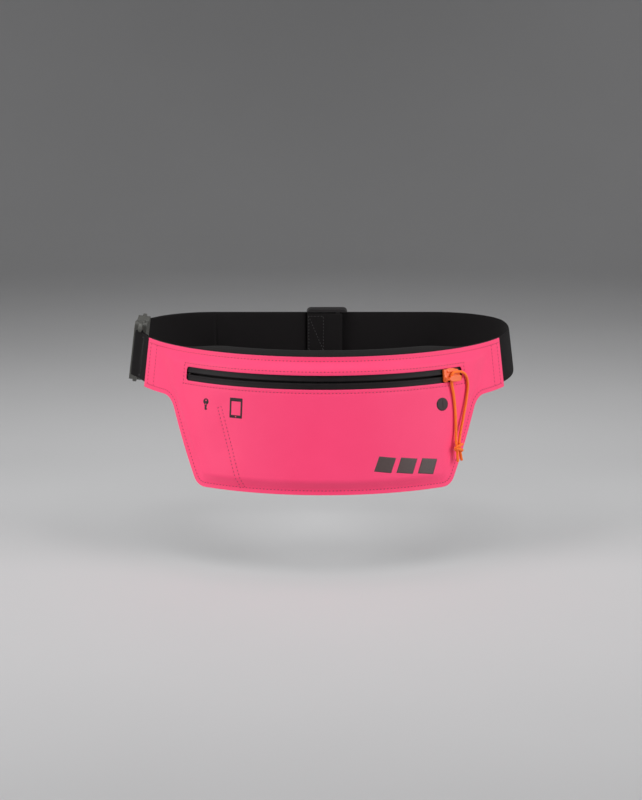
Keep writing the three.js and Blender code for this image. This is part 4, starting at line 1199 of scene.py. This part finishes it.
def bar_turn(bar_at, bar_out, radius, side):
    """Half a turn of elastic round a bar, from outside to inside; side is where it bulges."""
    return [(bar_at + side * radius * math.sin(a), bar_out + radius * math.cos(a))
            for a in np.linspace(0, math.pi, 11)]


def buckle_route(points):
    """Points along and out of the flat buckle, as they lie on the round belt."""
    route = []
    arc_left = (front_arc + BUCKLE_AT) / FRONT_RADIUS
    for x, y in points:
        radius = FRONT_RADIUS + BUCKLE_SEAT + y
        turn = math.atan2(-x, radius)
        if turn < arc_left:
            route.append((BUCKLE_AT - FRONT_RADIUS * turn, math.hypot(x, radius) - FRONT_RADIUS))
            continue
        across = -x - centre_gap * math.sin(arc_left)
        off = radius - centre_gap * math.cos(arc_left)
        route.append((-front_arc - SIDE_RADIUS * (math.atan2(across, off) - arc_left),
                      math.hypot(across, off) - SIDE_RADIUS))
    return route


def elastic(name, corners):
    """A ribbon of elastic along a route of (s, out), with woven edges a little thinner."""
    route = [np.array(corners[0])]
    for a, b in zip(corners, corners[1:]):
        a, b = np.array(a), np.array(b)
        count = max(1, round(np.linalg.norm(b - a) / ELASTIC_STEP))
        route += [a + (b - a) * k / count for k in range(1, count + 1)]
    route = np.array(route)
    for _ in range(2):
        route[1:-1] = route[1:-1] * 0.5 + (route[:-2] + route[2:]) * 0.25
    ahead = np.gradient(route, axis=0)
    ahead /= np.linalg.norm(ahead, axis=1)[:, None]
    off = np.stack([-ahead[:, 1], ahead[:, 0]], axis=1)
    far = np.concatenate([[0], np.cumsum(np.linalg.norm(np.diff(route, axis=0), axis=1))])
    half = ELASTIC_WIDTH / 2
    across = np.array([-1, -0.985, -0.94, -0.8, -0.6, -0.4, -0.2, 0, 0.2, 0.4, 0.6, 0.8, 0.94, 0.985, 1])
    thick = ELASTIC_THICKNESS / 2 * (1 - 0.55 * np.abs(across) ** 40 - 0.12 * np.exp(
        -((np.abs(across) - 0.9) / 0.05) ** 2))
    section = [(x * half, t) for x, t in zip(across, thick)]
    section += [(x * half, -t) for x, t in zip(across[::-1], thick[::-1])]
    shape = bmesh.new()
    rings = []
    for at, normal in zip(route, off):
        s = np.array([at[0] + normal[0] * t for _, t in section])
        out = np.array([at[1] + normal[1] * t for _, t in section])
        rings.append([shape.verts.new(p) for p in place(s, [x for x, _ in section], out)])
    chart = shape.loops.layers.uv.new("cloth")
    count = len(section)
    for i in range(len(rings) - 1):
        for k in range(count):
            n = (k + 1) % count
            quad = shape.faces.new((rings[i][k], rings[i + 1][k], rings[i + 1][n], rings[i][n]))
            for loop, (a, b) in zip(quad.loops, ((i, k), (i + 1, k), (i + 1, n), (i, n))):
                loop[chart].uv = (far[a], section[b][0])
    for end in (rings[0], rings[-1]):
        for k in range(len(across) - 1):
            shape.faces.new((end[k], end[k + 1], end[count - 2 - k], end[count - 1 - k]))
    bmesh.ops.recalc_face_normals(shape, faces=shape.faces)
    mesh = bpy.data.meshes.new(name)
    shape.to_mesh(mesh)
    return show(name, mesh, BLACK_ELASTIC)


BLACK_ELASTIC = elastic_finish()
bar_inner = BUCKLE_HALF - BAR_WIDTH
turn_radius = BAR_THICKNESS / 2 + BAR_GAP + ELASTIC_THICKNESS / 2
elastic_from = TAB_END - IN_TAB
short_near = BUCKLE_AT + BUCKLE_HALF + LAYERS_MEET
short_turn = buckle_route([(BUCKLE_HALF + 0.001, turn_radius),
                           *bar_turn(bar_inner + TURN_TUCK, 0, turn_radius, -1),
                           (BUCKLE_HALF, -turn_radius)])
hem_from = short_near - 0.003
elastic_short = elastic("elastic_short", [(-elastic_from, 0), (short_near, 0), *short_turn,
                                          (hem_from, RETURN_OUT), (hem_from + SHORT_HEM, RETURN_OUT)])
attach(elastic_short, "pouch")
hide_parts("strap_short")

around = 2 * half_loop
plug_near = around + BUCKLE_AT - BUCKLE_HALF - LAYERS_MEET
straight_from = half_loop + back_half
plug_turn = [(s + around, out) for s, out in buckle_route([
    (-BUCKLE_HALF - 0.001, turn_radius), *bar_turn(-bar_inner - TURN_TUCK, 0, turn_radius, 1),
    (-BUCKLE_HALF, -turn_radius)])]
elastic_long = elastic("elastic_long", [(elastic_from, 0), (plug_near, 0), *plug_turn,
                                        (plug_near, RETURN_OUT), (straight_from, RETURN_OUT)])
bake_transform(elastic_long)
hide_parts("strap_long", "strap_plug_loop")

fold_end = half_loop + FOLD_END
elastic_return = elastic("elastic_return", [(fold_end + 0.0003, RETURN_OUT), (straight_from, RETURN_OUT)])
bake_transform(elastic_return)
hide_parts("strap_return")

fold_radius = ADJUSTER_THICKNESS / 2 + LAYER_BETWEEN + ELASTIC_THICKNESS / 2
fold_bar_out = RETURN_OUT - fold_radius
fold_turn = half_loop + FOLD_BAR + 0.0001
fold_inner = RETURN_OUT - ELASTIC_THICKNESS - LAYER_BETWEEN
elastic_fold = elastic("elastic_fold", [
    (fold_end, RETURN_OUT), *bar_turn(fold_turn, fold_bar_out, fold_radius, -1),
    (fold_turn + 0.006, fold_bar_out - fold_radius), (fold_turn + 0.012, fold_inner),
    (fold_end, fold_inner)])
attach(elastic_fold, "adjuster")
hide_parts("strap_end_fold")

# Box stitches hold the short piece's hem and the fold at the adjuster.
SEWN_IN = 0.003
half_sewn = ELASTIC_WIDTH / 2 - SEWN_IN


def sewn_box(low, high, out):
    """A box of stitches across the elastic, with one diagonal."""
    corners = [(low, -half_sewn), (high, -half_sewn), (high, half_sewn), (low, half_sewn),
               (low, -half_sewn), (high, half_sewn)]
    return followed(np.array(corners), lambda s, h: np.full(np.shape(s), out))


for name, low, high, faces, body in (
        ("hem_stitches", hem_from + 0.0012, hem_from + SHORT_HEM - 0.0015,
         (ELASTIC_THICKNESS / 2, RETURN_OUT - ELASTIC_THICKNESS / 2), "pouch"),
        ("fold_stitches", fold_turn + 0.0150, fold_end - 0.0015,
         (fold_inner - ELASTIC_THICKNESS / 2,), "adjuster")):
    sewn = grown(name, LOCKSTITCH, [sewn_box(low, high, out) for out in faces],
                 {**stitch_sizes, "Thread": BLACK_THREAD})
    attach(sewn, body)

# ---- buckle and adjuster ----
# A side-release buckle moulded in grey acetal: the socket, the plug with its tongue, and two
# sprung prongs with ribbed thumb pads. The adjuster behind is a black acetal three-bar slide.

GREY_ACETAL = moulded_finish("grey_acetal", "#4b4b47", "#575753", 0.42)
BLACK_ACETAL = moulded_finish("black_acetal", "#141213", "#1e1b1c", 0.4)
MOULD_ROUND = 0.00055
RIB_PITCH = 0.0022
RIB_HALF = 0.0005
RIB_STAND = 0.00035
PAD_HALF = 0.011
BUCKLE_FACE = 0.0055
PRONG_FACE = 0.0030


def buckle_point(x, y, z):
    """A point of the flat buckle: x towards the pouch, y up and z out."""
    s = BUCKLE_AT / FRONT_RADIUS
    along = Vector((math.cos(s), math.sin(s), 0))
    level = Vector((math.sin(s), -math.cos(s), 0))
    up = Vector((0, 0, math.cos(FLARE))) - level * math.sin(FLARE)
    out = level * math.cos(FLARE) + Vector((0, 0, math.sin(FLARE)))
    return Vector(place(BUCKLE_AT, 0, BUCKLE_SEAT)) + along * x + up * y + out * z


def ribs(shape, x_from, x_to, y_low, y_high, face):
    """Adds a row of grip ribs on the outer face of the flat buckle."""
    for k in range(int((x_to - x_from) / RIB_PITCH) + 1):
        x = x_from + k * RIB_PITCH
        corners = [(x + i * RIB_HALF, y, face + t) for i, y, t in (
            (-1, y_low, -0.0003), (1, y_low, -0.0003), (1, y_high, -0.0003), (-1, y_high, -0.0003),
            (-0.5, y_low + 0.0004, RIB_STAND), (0.5, y_low + 0.0004, RIB_STAND),
            (0.5, y_high - 0.0004, RIB_STAND), (-0.5, y_high - 0.0004, RIB_STAND))]
        v = [shape.verts.new(buckle_point(*c)) for c in corners]
        for quad in ((3, 2, 1, 0), (4, 5, 6, 7), (0, 1, 5, 4), (1, 2, 6, 5), (2, 3, 7, 6), (3, 0, 4, 7)):
            shape.faces.new([v[n] for n in quad]).smooth = True


def moulding(name, node_name, finish, body, rows=()):
    """A moulding with its edges rounded, over the plain shape of its frame piece."""
    shape = bmesh.new()
    shape.from_mesh(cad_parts[node_name].data)
    bmesh.ops.remove_doubles(shape, verts=shape.verts, dist=2e-5)
    bmesh.ops.dissolve_limit(shape, angle_limit=math.radians(3), verts=shape.verts, edges=shape.edges)
    sharp = [e for e in shape.edges if len(e.link_faces) == 2
             and e.calc_face_angle() > math.radians(25)]
    bmesh.ops.bevel(shape, geom=sharp, offset=MOULD_ROUND, segments=3, profile=0.5, affect="EDGES",
                    clamp_overlap=True)
    bmesh.ops.triangulate(shape, faces=[f for f in shape.faces if len(f.verts) > 4])
    for row in rows:
        ribs(shape, *row)
    mesh = bpy.data.meshes.new(name)
    shape.to_mesh(mesh)
    made = show(name, mesh, finish)
    made.modifiers.new("even_shading", "WEIGHTED_NORMAL")
    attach(made, body)
    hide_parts(node_name)


moulding("socket_moulding", "buckle_socket", GREY_ACETAL, "pouch",
         [(-0.0050, 0.0015, -PAD_HALF, PAD_HALF, BUCKLE_FACE)])
moulding("plug_moulding", "buckle_plug", GREY_ACETAL, "plug",
         [(-0.0210, -0.0145, -PAD_HALF, PAD_HALF, BUCKLE_FACE)])
for name, low, high in (("upper", 0.0205, 0.0262), ("lower", -0.0262, -0.0205)):
    moulding(f"prong_moulding_{name}", f"buckle_prong_{name}", GREY_ACETAL, f"prong_{name}",
             [(0.0065, 0.0145, low, high, PRONG_FACE)])
moulding("adjuster_moulding", "adjuster", BLACK_ACETAL, "adjuster")
